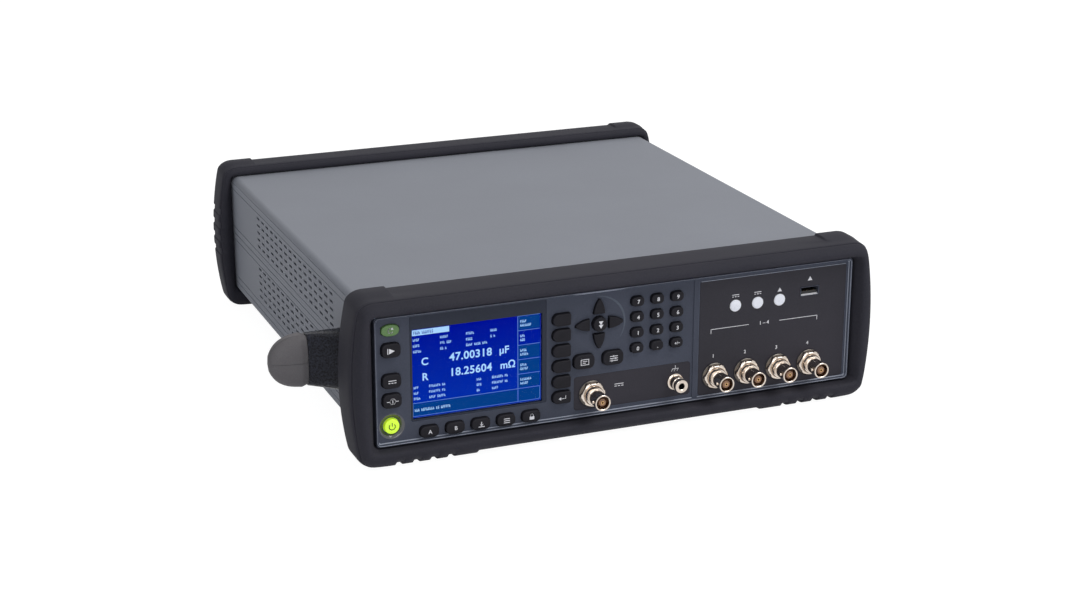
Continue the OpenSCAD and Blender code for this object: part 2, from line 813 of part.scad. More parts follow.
module lcd_window() {
    in_row_frame() color([0.10, 0.11, 0.16, 0.5]) along_y(pane_y1 - pane_t, pane_y1)
        round_box(pane_x0, pane_x1, pane_z0, pane_z1, 1);
}

// Metal frame and the glass that sits in it
module lcd_module() {
    in_row_frame() {
        color(zinc) difference() {
            block([module_x0, panel_t, module_z0], [module_x1, module_y1, module_z1]);
            block([lcd_x0 - glass_margin - fit_gap, panel_t - over, lcd_z0 - glass_margin - fit_gap],
                  [lcd_x1 + glass_margin + fit_gap, glass_y1 + stack_gap, lcd_z1 + glass_margin + fit_gap]);
        }
        color([0.05, 0.15, 0.70])
            block([lcd_x0 - glass_margin, glass_y1 - glass_t, lcd_z0 - glass_margin],
                  [lcd_x1 + glass_margin, glass_y1, lcd_z1 + glass_margin]);
    }
}

// Openings that the front board and the mat share
module board_holes() {
    round_box(module_x0 - 0.4, module_x1 + 0.4, module_z0 - 0.4, module_z1 + 0.4, 0.4);
    translate([source_jack_x, jack_z]) circle(r = jack_base_r + 1);
    translate([ground_x, jack_z]) circle(r = ground_nut_af / sqrt(3) + 1);
}

module key_mat() {
    in_row_frame() color([0.30, 0.31, 0.33]) {
        along_y(mat_y0, board_y0) difference() {
            round_box(mat_x0, mat_x1, mat_z0, mat_z1, 1);
            board_holes();
            for (b = bosses) translate(b) circle(r = boss_step_r + seat_gap);
        }
        for (k = keys) {
            shift = stem_shift(k[3]);
            translate([k[1] + shift[0], mat_y0 + 0.1, k[2] + shift[1]]) rotate([90, 0, 0])
                cylinder(r1 = stem_r + 0.9, r2 = stem_r, h = dome_t + 0.1);
        }
    }
}

module key_board() {
    in_row_frame() color(board_green) along_y(board_y0, board_y1) difference() {
        round_box(mat_x0 - 0.5, front_board_x1, mat_z0, mat_z1, 1);
        board_holes();
        for (b = bosses) translate(b) circle(r = boss_r + seat_gap);
        translate([mat_x1 + 6, 0]) square([case_w, terminal_bay_z1]);
        translate([usb_x, usb_z]) square([usb_w + 1, usb_h + 1], center = true);
    }
}

// Outline shared by both bumpers: bowed sides, two feet, two pads
module bumper_outline(x) {
    low_x = x - low_corner_in - bumper_low_r;
    top_x = x - top_corner_in - bumper_top_r;
    height = bumper_h + pad_h;
    difference() {
        intersection() {
            union() {
                translate([-x, bumper_low_r]) square([2 * x, height - bumper_low_r - bumper_top_r]);
                translate([-low_x, 0]) square([2 * low_x, bumper_low_r + 1]);
                translate([-top_x, height - bumper_top_r - 1]) square([2 * top_x, bumper_top_r + 1]);
                for (s = [-1, 1]) {
                    translate([s * low_x, bumper_low_r]) circle(r = bumper_low_r);
                    translate([s * top_x, height - bumper_top_r]) circle(r = bumper_top_r);
                }
            }
            translate([x - bow_r, bow_z]) circle(r = bow_r);
            translate([bow_r - x, bow_z]) circle(r = bow_r);
        }
        translate([pad_edge + pad_w - x, bumper_h]) square([2 * (x - pad_edge - pad_w), pad_h + over]);
        translate([foot_len - x, -over]) square([2 * (x - foot_len), over + foot_relief]);
        for (s = [-1, 1], i = [0:3])
            translate([s * (x - groove_first - i * groove_pitch), 0])
                square([groove_w, 2 * groove_depth], center = true);
    }
}

// Side view of the front bumper: sloped face, chamfered top and bottom edges
module front_bumper_side() {
    y0 = -bumper_front;
    top = bumper_h + pad_h;
    polygon([[bumper_back, 0], [y0 + 6, 0], [y0 + 1.5, 3], [y0, 6],
             [y0, top - 6.2], [y0 + 2.6, top - 2], [y0 + 13, top], [bumper_back, top]]);
}

// Plan view of the front bumper: sloped face and rounded-off sides
module front_bumper_plan() {
    y0 = -bumper_front;
    x = bumper_x;
    polygon([[x, bumper_back], [x, y0 + 15], [x - 1.5, y0 + 7], [x - 4.6, y0 + 2.5],
             [x - 10, y0], [10 - x, y0], [4.6 - x, y0 + 2.5], [1.5 - x, y0 + 7],
             [-x, y0 + 15], [-x, bumper_back]]);
}

module front_bumper() {
    in_row_frame() color(rubber_dark) difference() {
        intersection() {
            along_y(-bumper_front, bumper_back) bumper_outline(bumper_x);
            along_x(-bumper_x - over, bumper_x + over) front_bumper_side();
            translate([0, 0, -over]) linear_extrude(height = bumper_h + pad_h + 2 * over)
                front_bumper_plan();
        }
        along_y(-bumper_front - over, bumper_back + over) case_outline(seat_gap);
    }
}

// Rear bumper edges: a round at the back, in side view or in plan
module round_back(half) {
    translate([0, -half]) square([rear_bumper_len - rear_round, 2 * half]);
    translate([0, rear_round - half]) square([rear_bumper_len, 2 * (half - rear_round)]);
    for (s = [-1, 1]) translate([rear_bumper_len - rear_round, s * (half - rear_round)])
        circle(r = rear_round);
}

// Half width of a bowed bumper at height z
function bow_at(x, z) = x - bow_r + sqrt(bow_r * bow_r - (z - bow_z) * (z - bow_z));

module rear_bumper() {
    half = (bumper_h + pad_h) / 2;
    in_row_frame() color(rubber_dark) difference() {
        intersection() {
            along_y(rear_bumper_y0, rear_bumper_y1) bumper_outline(rear_bumper_x);
            along_x(-bumper_x - over, bumper_x + over)
                translate([rear_bumper_y0, half]) round_back(half);
            translate([0, rear_bumper_y0, -over]) linear_extrude(height = bumper_h + pad_h + 2 * over)
                rotate(90) round_back(rear_bumper_x);
        }
        along_y(rear_bumper_y0 - over, rear_bumper_y1 + over) for (s = [-1, 1], i = [-1.5:1.5])
            let (z = side_groove_z + i * side_groove_pitch)
            translate([s * bow_at(rear_bumper_x, z), z])
                square([2 * side_groove_depth, side_groove_w], center = true);
        along_y(rear_bumper_y0 - over, sleeve_y1 + seat_gap) case_outline(seat_gap);
        along_y(rear_bumper_y0 - over, rear_bumper_y1 + over)
            round_box(rear_lip - case_w / 2, case_w / 2 - rear_lip, case_z0 + rear_lip, case_z1 - rear_lip,
                      case_r);
    }
}

// Rounded slice across the grip at x, inset all round
module grip_slice(x, inset_y, inset_z, r) {
    translate([x, grip_y, grip_z]) rotate([90, 0, 90]) linear_extrude(height = 0.2)
        round_rect(grip_t - 2 * inset_y, grip_h - 2 * inset_z, r);
}

module grip_core() {
    tongue_x1 = shell_x0 - tongue_len;
    in_row_frame() color([0.11, 0.11, 0.13]) difference() {
        union() {
            hull($fn = 32) {
                grip_slice(shell_x0 + fit_gap, 0, 0, grip_r);
                translate([grip_x0 - 0.2, grip_foot_y, grip_foot_z]) rotate([90, 0, 90])
                    linear_extrude(height = 0.2) round_rect(grip_foot_t, grip_foot_h, grip_r);
            }
            along_grip(tongue_x1, shell_x0 + 1) round_rect(grip_t - 2 * shell_wall, grip_h - 8, 2);
        }
        for (s = [-1, 1])
            translate([grip_x0 - grip_screw_bite - 1, grip_y, grip_z + s * grip_screw_z])
                rotate([0, 90, 0]) cylinder(r = grip_screw_r + shaft_gap, h = grip_screw_bite + 1 + over);
    }
}

// Extrudes a grip section along X
module along_grip(x0, x1) {
    translate([0, grip_y, grip_z]) along_x(x0, x1) children();
}

// Two half shells with a thin parting gap between them
module grip_shells() {
    shoulder = 7;
    end_len = shell_x0 - shoulder - shell_x1;
    cavity_x0 = shell_x0 - tongue_len - fit_gap;
    in_row_frame() color([0.37, 0.36, 0.35]) difference() {
        hull($fn = 32) {
            for (t = [0, 0.35, 0.6, 0.8, 0.93, 1])
                let (drop = 1 - sqrt(1 - t * t * 0.96))
                grip_slice(shell_x0 - shoulder - t * end_len, drop * grip_t * 0.35,
                           drop * grip_h * 0.46, min(grip_r, grip_t * (0.5 - drop * 0.35) - 0.2));
            grip_slice(shell_x0 - 0.2, 0, 0, grip_r);
        }
        along_grip(cavity_x0, shell_x0 + over)
            round_rect(grip_t - 2 * shell_wall + 2 * fit_gap, grip_h - 8 + 2 * fit_gap, 2);
        block([shell_x1 - 5, grip_y - grip_t, grip_z - fit_gap / 2],
              [shell_x0 + over, grip_y + grip_t, grip_z + fit_gap / 2]);
    }
}

// Bayonet jack: base, thread, barrel with two lugs, one bore
module jack_body(x, z, face) {
    translate([x, face, z]) difference() {
        union() {
            rod_y(0, 0, jack_base_r, panel_t, jack_base_y1);
            rod_y(0, 0, jack_thread_r, jack_neck_y, panel_t + 0.1);
            rod_y(0, 0, jack_r, -jack_reach, jack_neck_y + 0.1);
            rod_y(0, 0, jack_r, jack_base_y1 - 0.1, jack_tail_y1);
            for (s = [-1, 1]) translate([s * (jack_r - 0.5), 4 - jack_reach, 0])
                rotate([0, s * 90, 0]) cylinder(r = 0.95, h = 1.2, $fn = 24);
        }
        rod_y(0, 0, jack_bore_r, -jack_reach - over, jack_tail_y1 + over);
    }
}

module jack_bodies() {
    in_row_frame() color(nickel) for (x = jack_places) jack_body(x, jack_z, 0);
}

// One washer and one nut on each jack's thread
module jack_nuts() {
    in_row_frame() color(nickel) for (x = jack_places) {
        difference() {
            rod_y(x, jack_z, washer_r, -washer_t, 0);
            rod_y(x, jack_z, jack_thread_r + shaft_gap, -washer_t - over, over);
        }
        difference() {
            hex_y(x, jack_z, jack_nut_af, -washer_t - stack_gap - nut_t, -washer_t - stack_gap);
            rod_y(x, jack_z, jack_thread_r + shaft_gap, -washer_t - nut_t - over, over);
        }
    }
}

// Insulator and hollow contact of one jack
module jack_core(x, z, face) {
    translate([x, face, z]) {
        color([0.85, 0.84, 0.80]) difference() {
            union() {
                rod_y(0, 0, jack_bore_r - shaft_gap, jack_neck_y - 1.5, jack_tail_y1 - 1);
                rod_y(0, 0, core_r, 1 - jack_reach, jack_neck_y - 1);
            }
            rod_y(0, 0, contact_r + shaft_gap, -jack_reach, contact_y1);
        }
        color([0.80, 0.62, 0.25]) difference() {
            rod_y(0, 0, contact_r, 1.4 - jack_reach, contact_y1);
            rod_y(0, 0, contact_bore_r, 0.4 - jack_reach, 1.4 - jack_reach + contact_bore_t);
        }
    }
}

module jack_cores() {
    in_row_frame() for (x = jack_places) jack_core(x, jack_z, 0);
}

module ground_post() {
    in_row_frame() color(nickel) {
        difference() {
            union() {
                rod_y(ground_x, jack_z, ground_r, -ground_reach, 0);
                rod_y(ground_x, jack_z, ground_r + 0.8, -1.2, 0);
                rod_y(ground_x, jack_z, ground_thread_r, -0.1, ground_y1);
            }
            rod_y(ground_x, jack_z, ground_bore_r, -ground_reach - over, -1.5);
        }
        difference() {
            hex_y(ground_x, jack_z, ground_nut_af, panel_t, panel_t + ground_nut_t);
            rod_y(ground_x, jack_z, ground_thread_r + shaft_gap, panel_t - over,
                  panel_t + ground_nut_t + over);
        }
    }
}

// Metal shell, and the insulator with its tongue
module usb_port() {
    mouth_w = usb_w - 2 * usb_wall;
    mouth_h = usb_h - 2 * usb_wall;
    in_row_frame() translate([usb_x, 0, usb_z]) {
        color(nickel) along_y(usb_y0, usb_y0 + usb_depth) difference() {
            square([usb_w, usb_h], center = true);
            square([mouth_w, mouth_h], center = true);
        }
        color([0.9, 0.9, 0.9]) {
            along_y(usb_y0 + usb_depth - 3, usb_y0 + usb_depth)
                square([mouth_w - 2 * shaft_gap, mouth_h - 2 * shaft_gap], center = true);
            along_y(usb_y0 + 1.5, usb_y0 + usb_depth - 2.9)
                translate([0, (tongue_t - mouth_h) / 2 + 0.6]) square([mouth_w - 2, tongue_t], center = true);
        }
    }
}

// Lens, its flange behind the panel, and its light pipe
module lamp_lenses() {
    in_row_frame() color([0.84, 0.85, 0.88]) for (i = [0:2]) {
        x = lamp_x0 + i * lamp_pitch;
        rod_y(x, lamp_z, lamp_r, -0.4, panel_t + 0.1);
        rod_y(x, lamp_z, lamp_r + 0.9, panel_t, panel_t + 0.9);
        rod_y(x, lamp_z, 2.4, panel_t + 0.8, board_y0);
    }
}

// Board with the parts soldered on it
module main_board() {
    in_row_frame() {
        color(board_green) difference() {
            block([main_x0, main_y0, main_z0], [main_x1, main_y1, main_z1]);
            for (p = standoffs)
                translate([p[0], p[1], main_z0 - over])
                    cylinder(r = screw_r + seat_gap, h = board_t + 2 * over);
        }
        color(zinc) {
            block([main_x0 + 14, main_y0 + 18, main_z1], [main_x0 + 94, main_y0 + 100, main_z1 + 16]);
            block([main_x1 - 84, main_y0 + 18, main_z1], [main_x1 - 18, main_y0 + 74, main_z1 + 14]);
        }
        color([0.12, 0.12, 0.13]) {
            block([main_x0 + 30, main_y0 + 130, main_z1], [main_x0 + 62, main_y0 + 162, main_z1 + 3]);
            block([main_x1 - 60, main_y0 + 96, main_z1], [main_x1 - 34, main_y0 + 122, main_z1 + 3]);
        }
        color([0.55, 0.56, 0.58]) heat_sink(main_x0 + 96, main_y0 + 150);
        color([0.15, 0.2, 0.45]) for (i = [0:3])
            translate([main_x1 - 22, main_y0 + 140 + i * 14, main_z1]) cylinder(r = 5, h = 16);
    }
}

module heat_sink(x, y) {
    fins = 7;
    translate([x, y, main_z1]) {
        cube([34, 40, 3]);
        for (i = [0:fins - 1]) translate([i * 32.4 / (fins - 1), 0, 2.9]) cube([1.6, 40, 17]);
    }
}

// Folded tray with its board, transformer and capacitors
module power_supply() {
    in_row_frame() {
        color(zinc) difference() {
            block([supply_x0, supply_y0, chassis_z1], [supply_x1, supply_y1, chassis_z1 + supply_h]);
            block([supply_x0 + supply_wall, supply_y0 - over, chassis_z1 + supply_wall],
                  [supply_x1 - supply_wall, supply_y1 + over, chassis_z1 + supply_h + over]);
        }
        color(board_green)
            block([supply_x0 + supply_wall + 1, supply_y0 + 3, chassis_z1 + supply_wall],
                  [supply_x1 - supply_wall - 1, supply_y1 - 3, chassis_z1 + supply_wall + board_t]);
        color([0.75, 0.62, 0.25])
            block([supply_x0 + 10, supply_y0 + 80, chassis_z1 + supply_wall + board_t],
                  [supply_x0 + 44, supply_y0 + 120, chassis_z1 + 38]);
        color([0.15, 0.15, 0.18]) for (i = [0:1])
            translate([supply_x0 + 17 + i * 24, supply_y0 + 45, chassis_z1 + supply_wall + board_t])
                cylinder(r = 10.5, h = 34);
        color([0.5, 0.51, 0.53])
            block([supply_x1 - 9, supply_y0 + 70, chassis_z1 + supply_wall + board_t],
                  [supply_x1 - 6, supply_y0 + 160, chassis_z1 + 44]);
    }
}

module fan_frame() {
    in_row_frame() color([0.10, 0.10, 0.11]) translate([fan_x, 0, fan_z]) difference() {
        union() {
            along_y(fan_y0, fan_y1) difference() {
                round_rect(fan_size, fan_size, 4);
                circle(r = fan_bore_r);
            }
            rod_y(0, 0, fan_hub_r, fan_y0, fan_y0 + fan_base_t);
            for (a = [45, 135, 225, 315]) rotate([0, a, 0])
                translate([0, fan_y0, -1.5]) cube([fan_bore_r + 0.5, fan_base_t, 3]);
        }
        rod_y(0, 0, fan_shaft_r + shaft_gap, fan_y0 - over, fan_y0 + fan_base_t + over);
        for (sx = [-1, 1], sz = [-1, 1])
            rod_y(sx * fan_bolt, sz * fan_bolt, fan_screw_r + shaft_gap, fan_y0 - over, fan_y1 + over);
    }
}

module fan_rotor() {
    hub_y0 = fan_y0 + fan_base_t + seat_gap;
    hub_y1 = fan_y1 - 1.5;
    in_row_frame() color([0.14, 0.14, 0.15]) translate([fan_x, 0, fan_z]) {
        rod_y(0, 0, fan_hub_r, hub_y0, hub_y1);
        rod_y(0, 0, fan_shaft_r, fan_y0 + 0.2, hub_y0 + 0.1);
        intersection() {
            union() for (i = [0:fan_blades - 1]) rotate([0, i * 360 / fan_blades, 0])
                translate([fan_hub_r + 5, (hub_y0 + hub_y1) / 2, 0]) rotate([38, 0, 0])
                    cube([fan_bore_r, 13, 1.4], center = true);
            difference() {
                rod_y(0, 0, fan_tip_r, hub_y0 + 0.4, hub_y1);
                rod_y(0, 0, fan_hub_r - 1, hub_y0 - over, hub_y1 + over);
            }
        }
    }
}

// Box socket through the rear panel with a cavity open to the back
module box_socket(x, z, w, h, depth, cavity) {
    difference() {
        block([x - w / 2, rear_y1 + socket_proud - depth, z - h / 2],
              [x + w / 2, rear_y1 + socket_proud, z + h / 2]);
        block([x - w / 2 + socket_wall, rear_y1 + socket_proud - cavity, z - h / 2 + socket_wall],
              [x + w / 2 - socket_wall, rear_y1 + socket_proud + over, z + h / 2 - socket_wall]);
    }
}

// Inlet with two screw ears and three blades
module mains_inlet() {
    in_row_frame() color([0.10, 0.10, 0.10]) {
        box_socket(inlet_x, inlet_z, inlet_w, inlet_h, 24, 18);
        for (p = [[-7, 1.5], [0, -2.5], [7, 1.5]])
            block([inlet_x + p[0] - 1, rear_y1 - 17.5, inlet_z + p[1] - 2],
                  [inlet_x + p[0] + 1, rear_y1 - 2, inlet_z + p[1] + 2]);
        for (s = [-1, 1]) translate([inlet_x + s * (inlet_w / 2 + 4), 0, inlet_z])
            block([-5, rear_y1, -inlet_h / 2 - 2], [5, rear_y1 + socket_proud, inlet_h / 2 + 2]);
    }
}

module network_socket() {
    in_row_frame() color(nickel) box_socket(lan_x, main_z1 + lan_h / 2, lan_w, lan_h, 21, 14);
}

module usb_device_socket() {
    in_row_frame() color(nickel) box_socket(usb_b_x, main_z1 + usb_b_h / 2, usb_b_w, usb_b_h, 16, 10);
}

module bus_socket() {
    in_row_frame() color([0.12, 0.12, 0.14])
        box_socket(bus_x, main_z1 + bus_h / 2, bus_w, bus_h, 16, 7);
}

// Trigger jack facing the back: its y runs outwards from the rear panel
module trigger_jack() {
    reach = 14;
    in_row_frame() color(nickel) translate([rear_jack_x, rear_y1, rear_jack_z]) rotate([0, 0, 180]) {
        difference() {
            union() {
                rod_y(0, 0, jack_base_r, rear_panel_t, rear_panel_t + 6);
                rod_y(0, 0, jack_thread_r, -nut_t - 1, rear_panel_t + 0.1);
                rod_y(0, 0, jack_r, -reach, -nut_t - 0.9);
            }
            rod_y(0, 0, jack_bore_r, -reach - over, -nut_t - 2);
        }
        rod_y(0, 0, contact_r, 1.5 - reach, -nut_t - 1.9);
        difference() {
            hex_y(0, 0, jack_nut_af, -nut_t, 0);
            rod_y(0, 0, jack_thread_r + shaft_gap, -nut_t - over, over);
        }
    }
}

// Pan-head screw along Y: head from y towards `side`, shank the other way
module screw_y(x, z, y, side, shank_r, len) {
    head_r = shank_r * 1.9;
    head_t = shank_r * 1.2;
    if (side > 0) {
        rod_y(x, z, head_r, y, y + head_t);
        rod_y(x, z, shank_r, y - len, y + 0.1);
    } else {
        rod_y(x, z, head_r, y - head_t, y);
        rod_y(x, z, shank_r, y - 0.1, y + len);
    }
}

module screws() {
    in_row_frame() color([0.70, 0.70, 0.72]) {
        for (b = bosses) screw_y(b[0], b[1], front_wall_y1, 1, screw_r, chassis_wall + screw_bite - 1);
        for (x = tab_xs) screw_y(x, floor_z + tab_h / 2, rear_y1, 1, screw_r, rear_panel_t + tab_depth - 2);
        for (sx = [-1, 1], sz = [-1, 1])
            screw_y(fan_x + sx * fan_bolt, fan_z + sz * fan_bolt, rear_y1 + guard_t, 1, fan_screw_r,
                    guard_t + rear_panel_t + fan_depth - 1);
        for (p = standoffs) translate([p[0], p[1], main_z1]) {
            cylinder(r = screw_r * 1.9, h = screw_r * 1.2);
            translate([0, 0, 1 - standoff_h - board_t]) cylinder(r = screw_r, h = standoff_h + board_t - 0.9);
        }
        for (s = [-1, 1]) translate([-inner_x, grip_y, grip_z + s * grip_screw_z]) {
            rotate([0, 90, 0]) cylinder(r = grip_screw_r * 1.9, h = grip_screw_r * 1.2);
            rotate([0, -90, 0]) cylinder(r = grip_screw_r, h = case_wall + grip_screw_bite);
        }
    }
}

case_cover();
chassis();
rear_panel();
front_bezel();
terminal_plates();
lcd_window();
lcd_module();
key_mat();
key_board();
front_bumper();
rear_bumper();
grip_core();
grip_shells();
jack_bodies();
jack_nuts();
jack_cores();
ground_post();
usb_port();
lamp_lenses();
main_board();
power_supply();
fan_frame();
fan_rotor();
fan_guard();
mains_inlet();
network_socket();
usb_device_socket();
bus_socket();
trigger_jack();
screws();
for (k = keys) key_solid(k);
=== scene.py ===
import json
import math
import random
import bmesh
import bpy
from mathutils import Matrix, Vector


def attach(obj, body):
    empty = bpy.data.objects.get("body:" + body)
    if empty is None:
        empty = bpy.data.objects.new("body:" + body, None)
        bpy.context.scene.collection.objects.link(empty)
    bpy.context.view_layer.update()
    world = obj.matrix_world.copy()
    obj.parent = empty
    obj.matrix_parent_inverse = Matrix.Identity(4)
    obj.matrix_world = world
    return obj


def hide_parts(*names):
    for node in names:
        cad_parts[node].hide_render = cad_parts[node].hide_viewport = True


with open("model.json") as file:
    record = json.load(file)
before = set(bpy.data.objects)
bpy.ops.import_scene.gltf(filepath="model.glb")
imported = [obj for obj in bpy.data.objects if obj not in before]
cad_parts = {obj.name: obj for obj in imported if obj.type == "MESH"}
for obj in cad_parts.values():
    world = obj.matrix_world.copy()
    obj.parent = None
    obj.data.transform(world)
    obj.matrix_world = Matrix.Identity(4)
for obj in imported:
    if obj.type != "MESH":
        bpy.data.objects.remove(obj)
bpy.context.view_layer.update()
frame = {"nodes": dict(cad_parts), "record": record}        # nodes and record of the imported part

record = frame["record"]
scene = bpy.context.scene
mm = 0.001
designShift = Vector((17.25, -162.0, 0.0))        # design frame to row frame, millimetres
main = "instrument"


def place(x, y, z):
    return (Vector((x, y, z)) + designShift) * mm


def tone(red, green, blue):
    def linear(value):
        value /= 255
        return value / 12.92 if value <= 0.04045 else ((value + 0.055) / 1.055) ** 2.4
    return (linear(red), linear(green), linear(blue), 1.0)


# effects shared by the finishes

def newGroup(name, inputs, outputs):
    tree = bpy.data.node_groups.new(name, "ShaderNodeTree")
    for label, kind, value in inputs:
        socket = tree.interface.new_socket(label, in_out="INPUT", socket_type=kind)
        socket.default_value = value
    for label, kind in outputs:
        tree.interface.new_socket(label, in_out="OUTPUT", socket_type=kind)
    return tree, tree.nodes.new("NodeGroupInput"), tree.nodes.new("NodeGroupOutput")


def setValues(node, values):
    for key, value in values.items():
        node.inputs[key].default_value = value


def addNode(tree, kind, values=None, **settings):
    # values go on the node's sockets, settings on the node
    node = tree.nodes.new(kind)
    for key, value in settings.items():
        setattr(node, key, value)
    setValues(node, values or {})
    return node


def wire(tree, *links):
    # each link is a node and its output, then a node and its input
    for start, output, end, target in links:
        tree.links.new(start.outputs[output], end.inputs[target])


def makeMottle():
    # slow change of colour and roughness over a moulded or painted surface
    tree, start, end = newGroup("mottle", [
        ("Low", "NodeSocketColor", (0, 0, 0, 1)), ("High", "NodeSocketColor", (1, 1, 1, 1)),
        ("Scale", "NodeSocketFloat", 30.0), ("Speckle", "NodeSocketFloat", 900.0),
        ("Speckle Share", "NodeSocketFloat", 0.3),
        ("Rough Low", "NodeSocketFloat", 0.4), ("Rough High", "NodeSocketFloat", 0.6)],
        [("Color", "NodeSocketColor"), ("Roughness", "NodeSocketFloat")])
    spot = addNode(tree, "ShaderNodeTexCoord")
    slow = addNode(tree, "ShaderNodeTexNoise", {"Detail": 3})
    fine = addNode(tree, "ShaderNodeTexNoise", {"Detail": 1})
    blend = addNode(tree, "ShaderNodeMix", data_type="FLOAT")
    spread = addNode(tree, "ShaderNodeMapRange", {"From Min": 0.32, "From Max": 0.68})
    colour = addNode(tree, "ShaderNodeMix", data_type="RGBA")
    rough = addNode(tree, "ShaderNodeMapRange")
    wire(tree, (spot, "Object", slow, "Vector"), (start, "Scale", slow, "Scale"),
         (spot, "Object", fine, "Vector"), (start, "Speckle", fine, "Scale"),
         (start, "Speckle Share", blend, "Factor"), (slow, "Fac", blend, "A"), (fine, "Fac", blend, "B"),
         (blend, "Result", spread, "Value"), (spread, "Result", colour, "Factor"),
         (start, "Low", colour, "A"), (start, "High", colour, "B"),
         (spread, "Result", rough, "Value"), (start, "Rough Low", rough, "To Min"),
         (start, "Rough High", rough, "To Max"), (colour, "Result", end, "Color"),
         (rough, "Result", end, "Roughness"))
    return tree


def makeGrain():
    # pebbled grain of moulded rubber, plastic and textured paint
    tree, start, end = newGroup("grain", [
        ("Scale", "NodeSocketFloat", 1500.0), ("Stretch", "NodeSocketVector", (1, 1, 1))],
        [("Height", "NodeSocketFloat")])
    spot = addNode(tree, "ShaderNodeTexCoord")
    stretch = addNode(tree, "ShaderNodeVectorMath", operation="MULTIPLY")
    cells = addNode(tree, "ShaderNodeTexVoronoi", {"Smoothness": 0.6}, feature="SMOOTH_F1")
    noise = addNode(tree, "ShaderNodeTexNoise", {"Detail": 2})
    both = addNode(tree, "ShaderNodeMath", {1: 0.6}, operation="MULTIPLY_ADD")
    wire(tree, (spot, "Object", stretch, 0), (start, "Stretch", stretch, 1),
         (stretch, "Vector", cells, "Vector"), (start, "Scale", cells, "Scale"),
         (stretch, "Vector", noise, "Vector"), (start, "Scale", noise, "Scale"),
         (cells, "Distance", both, 0), (noise, "Fac", both, 2), (both, "Value", end, "Height"))
    return tree


def makeEdge():
    # mask of the outer edges, where a lighter colour is painted as a highlight
    tree, start, end = newGroup("edge", [
        ("Radius", "NodeSocketFloat", 0.0008), ("Gain", "NodeSocketFloat", 4.0)],
        [("Mask", "NodeSocketFloat")])
    bevel = addNode(tree, "ShaderNodeBevel", samples=4)
    plain = addNode(tree, "ShaderNodeNewGeometry")
    dot = addNode(tree, "ShaderNodeVectorMath", operation="DOT_PRODUCT")
    turn = addNode(tree, "ShaderNodeMath", {0: 1.0}, operation="SUBTRACT", use_clamp=True)
    gain = addNode(tree, "ShaderNodeMath", operation="MULTIPLY", use_clamp=True)
    wire(tree, (start, "Radius", bevel, "Radius"), (bevel, "Normal", dot, 0), (plain, "Normal", dot, 1),
         (dot, "Value", turn, 1), (turn, "Value", gain, 0), (start, "Gain", gain, 1),
         (gain, "Value", end, "Mask"))
    return tree


def makeRise(lowest, highest):
    # share from 0 to 1 up the object, between two heights in metres
    tree, start, end = newGroup("rise", [
        ("Low", "NodeSocketFloat", lowest), ("High", "NodeSocketFloat", highest)],
        [("Share", "NodeSocketFloat")])
    spot = addNode(tree, "ShaderNodeTexCoord")
    split = addNode(tree, "ShaderNodeSeparateXYZ")
    climb = addNode(tree, "ShaderNodeMapRange")
    wire(tree, (spot, "Object", split, "Vector"), (split, "Z", climb, "Value"),
         (start, "Low", climb, "From Min"), (start, "High", climb, "From Max"),
         (climb, "Result", end, "Share"))
    return tree


effects = {"mottle": makeMottle(), "grain": makeGrain(), "edge": makeEdge(),
           "rise": makeRise(0.028, 0.083)}


def useGroup(tree, key, **values):
    node = tree.nodes.new("ShaderNodeGroup")
    node.node_tree = effects[key]
    setValues(node, {label.replace("_", " "): value for label, value in values.items()})
    return node


def makeFinish(name, low, high, rough=(0.45, 0.55), scale=25.0, speckle=900.0, share=0.3,
               grain=1500.0, depth=0.00003, stretch=(1, 1, 1), edge=None, edgeRadius=0.0008,
               edgeGain=4.0, metallic=0.0, specular=0.5, coat=0.0, coatRough=0.1, glow=None,
               glowStrength=0.0, transmission=0.0, ior=1.5):
    material = bpy.data.materials.new(name)
    material.use_nodes = True
    tree = material.node_tree
    shader = tree.nodes["Principled BSDF"]
    mottle = useGroup(tree, "mottle", Low=tone(*low), High=tone(*high), Scale=scale, Speckle=speckle,
                      Speckle_Share=share, Rough_Low=rough[0], Rough_High=rough[1])
    colour = (mottle, "Color")
    # outer edges take a lighter colour: a painted highlight
    if edge:
        mask = useGroup(tree, "edge", Radius=edgeRadius, Gain=edgeGain)
        paintedEdgeHighlight = addNode(tree, "ShaderNodeMix", {"B": tone(*edge)}, data_type="RGBA")
        wire(tree, (mask, "Mask", paintedEdgeHighlight, "Factor"), (*colour, paintedEdgeHighlight, "A"))
        colour = (paintedEdgeHighlight, "Result")
    wire(tree, (*colour, shader, "Base Color"), (mottle, "Roughness", shader, "Roughness"))
    if depth:
        texture = useGroup(tree, "grain", Scale=grain, Stretch=stretch)
        bump = addNode(tree, "ShaderNodeBump", {"Distance": depth})
        wire(tree, (texture, "Height", bump, "Height"), (bump, "Normal", shader, "Normal"))
    setValues(shader, {"Metallic": metallic, "Specular IOR Level": specular, "Coat Weight": coat,
                       "Coat Roughness": coatRough, "Transmission Weight": transmission, "IOR": ior})
    if glow:
        setValues(shader, {"Emission Color": tone(*glow), "Emission Strength": glowStrength})
    return material


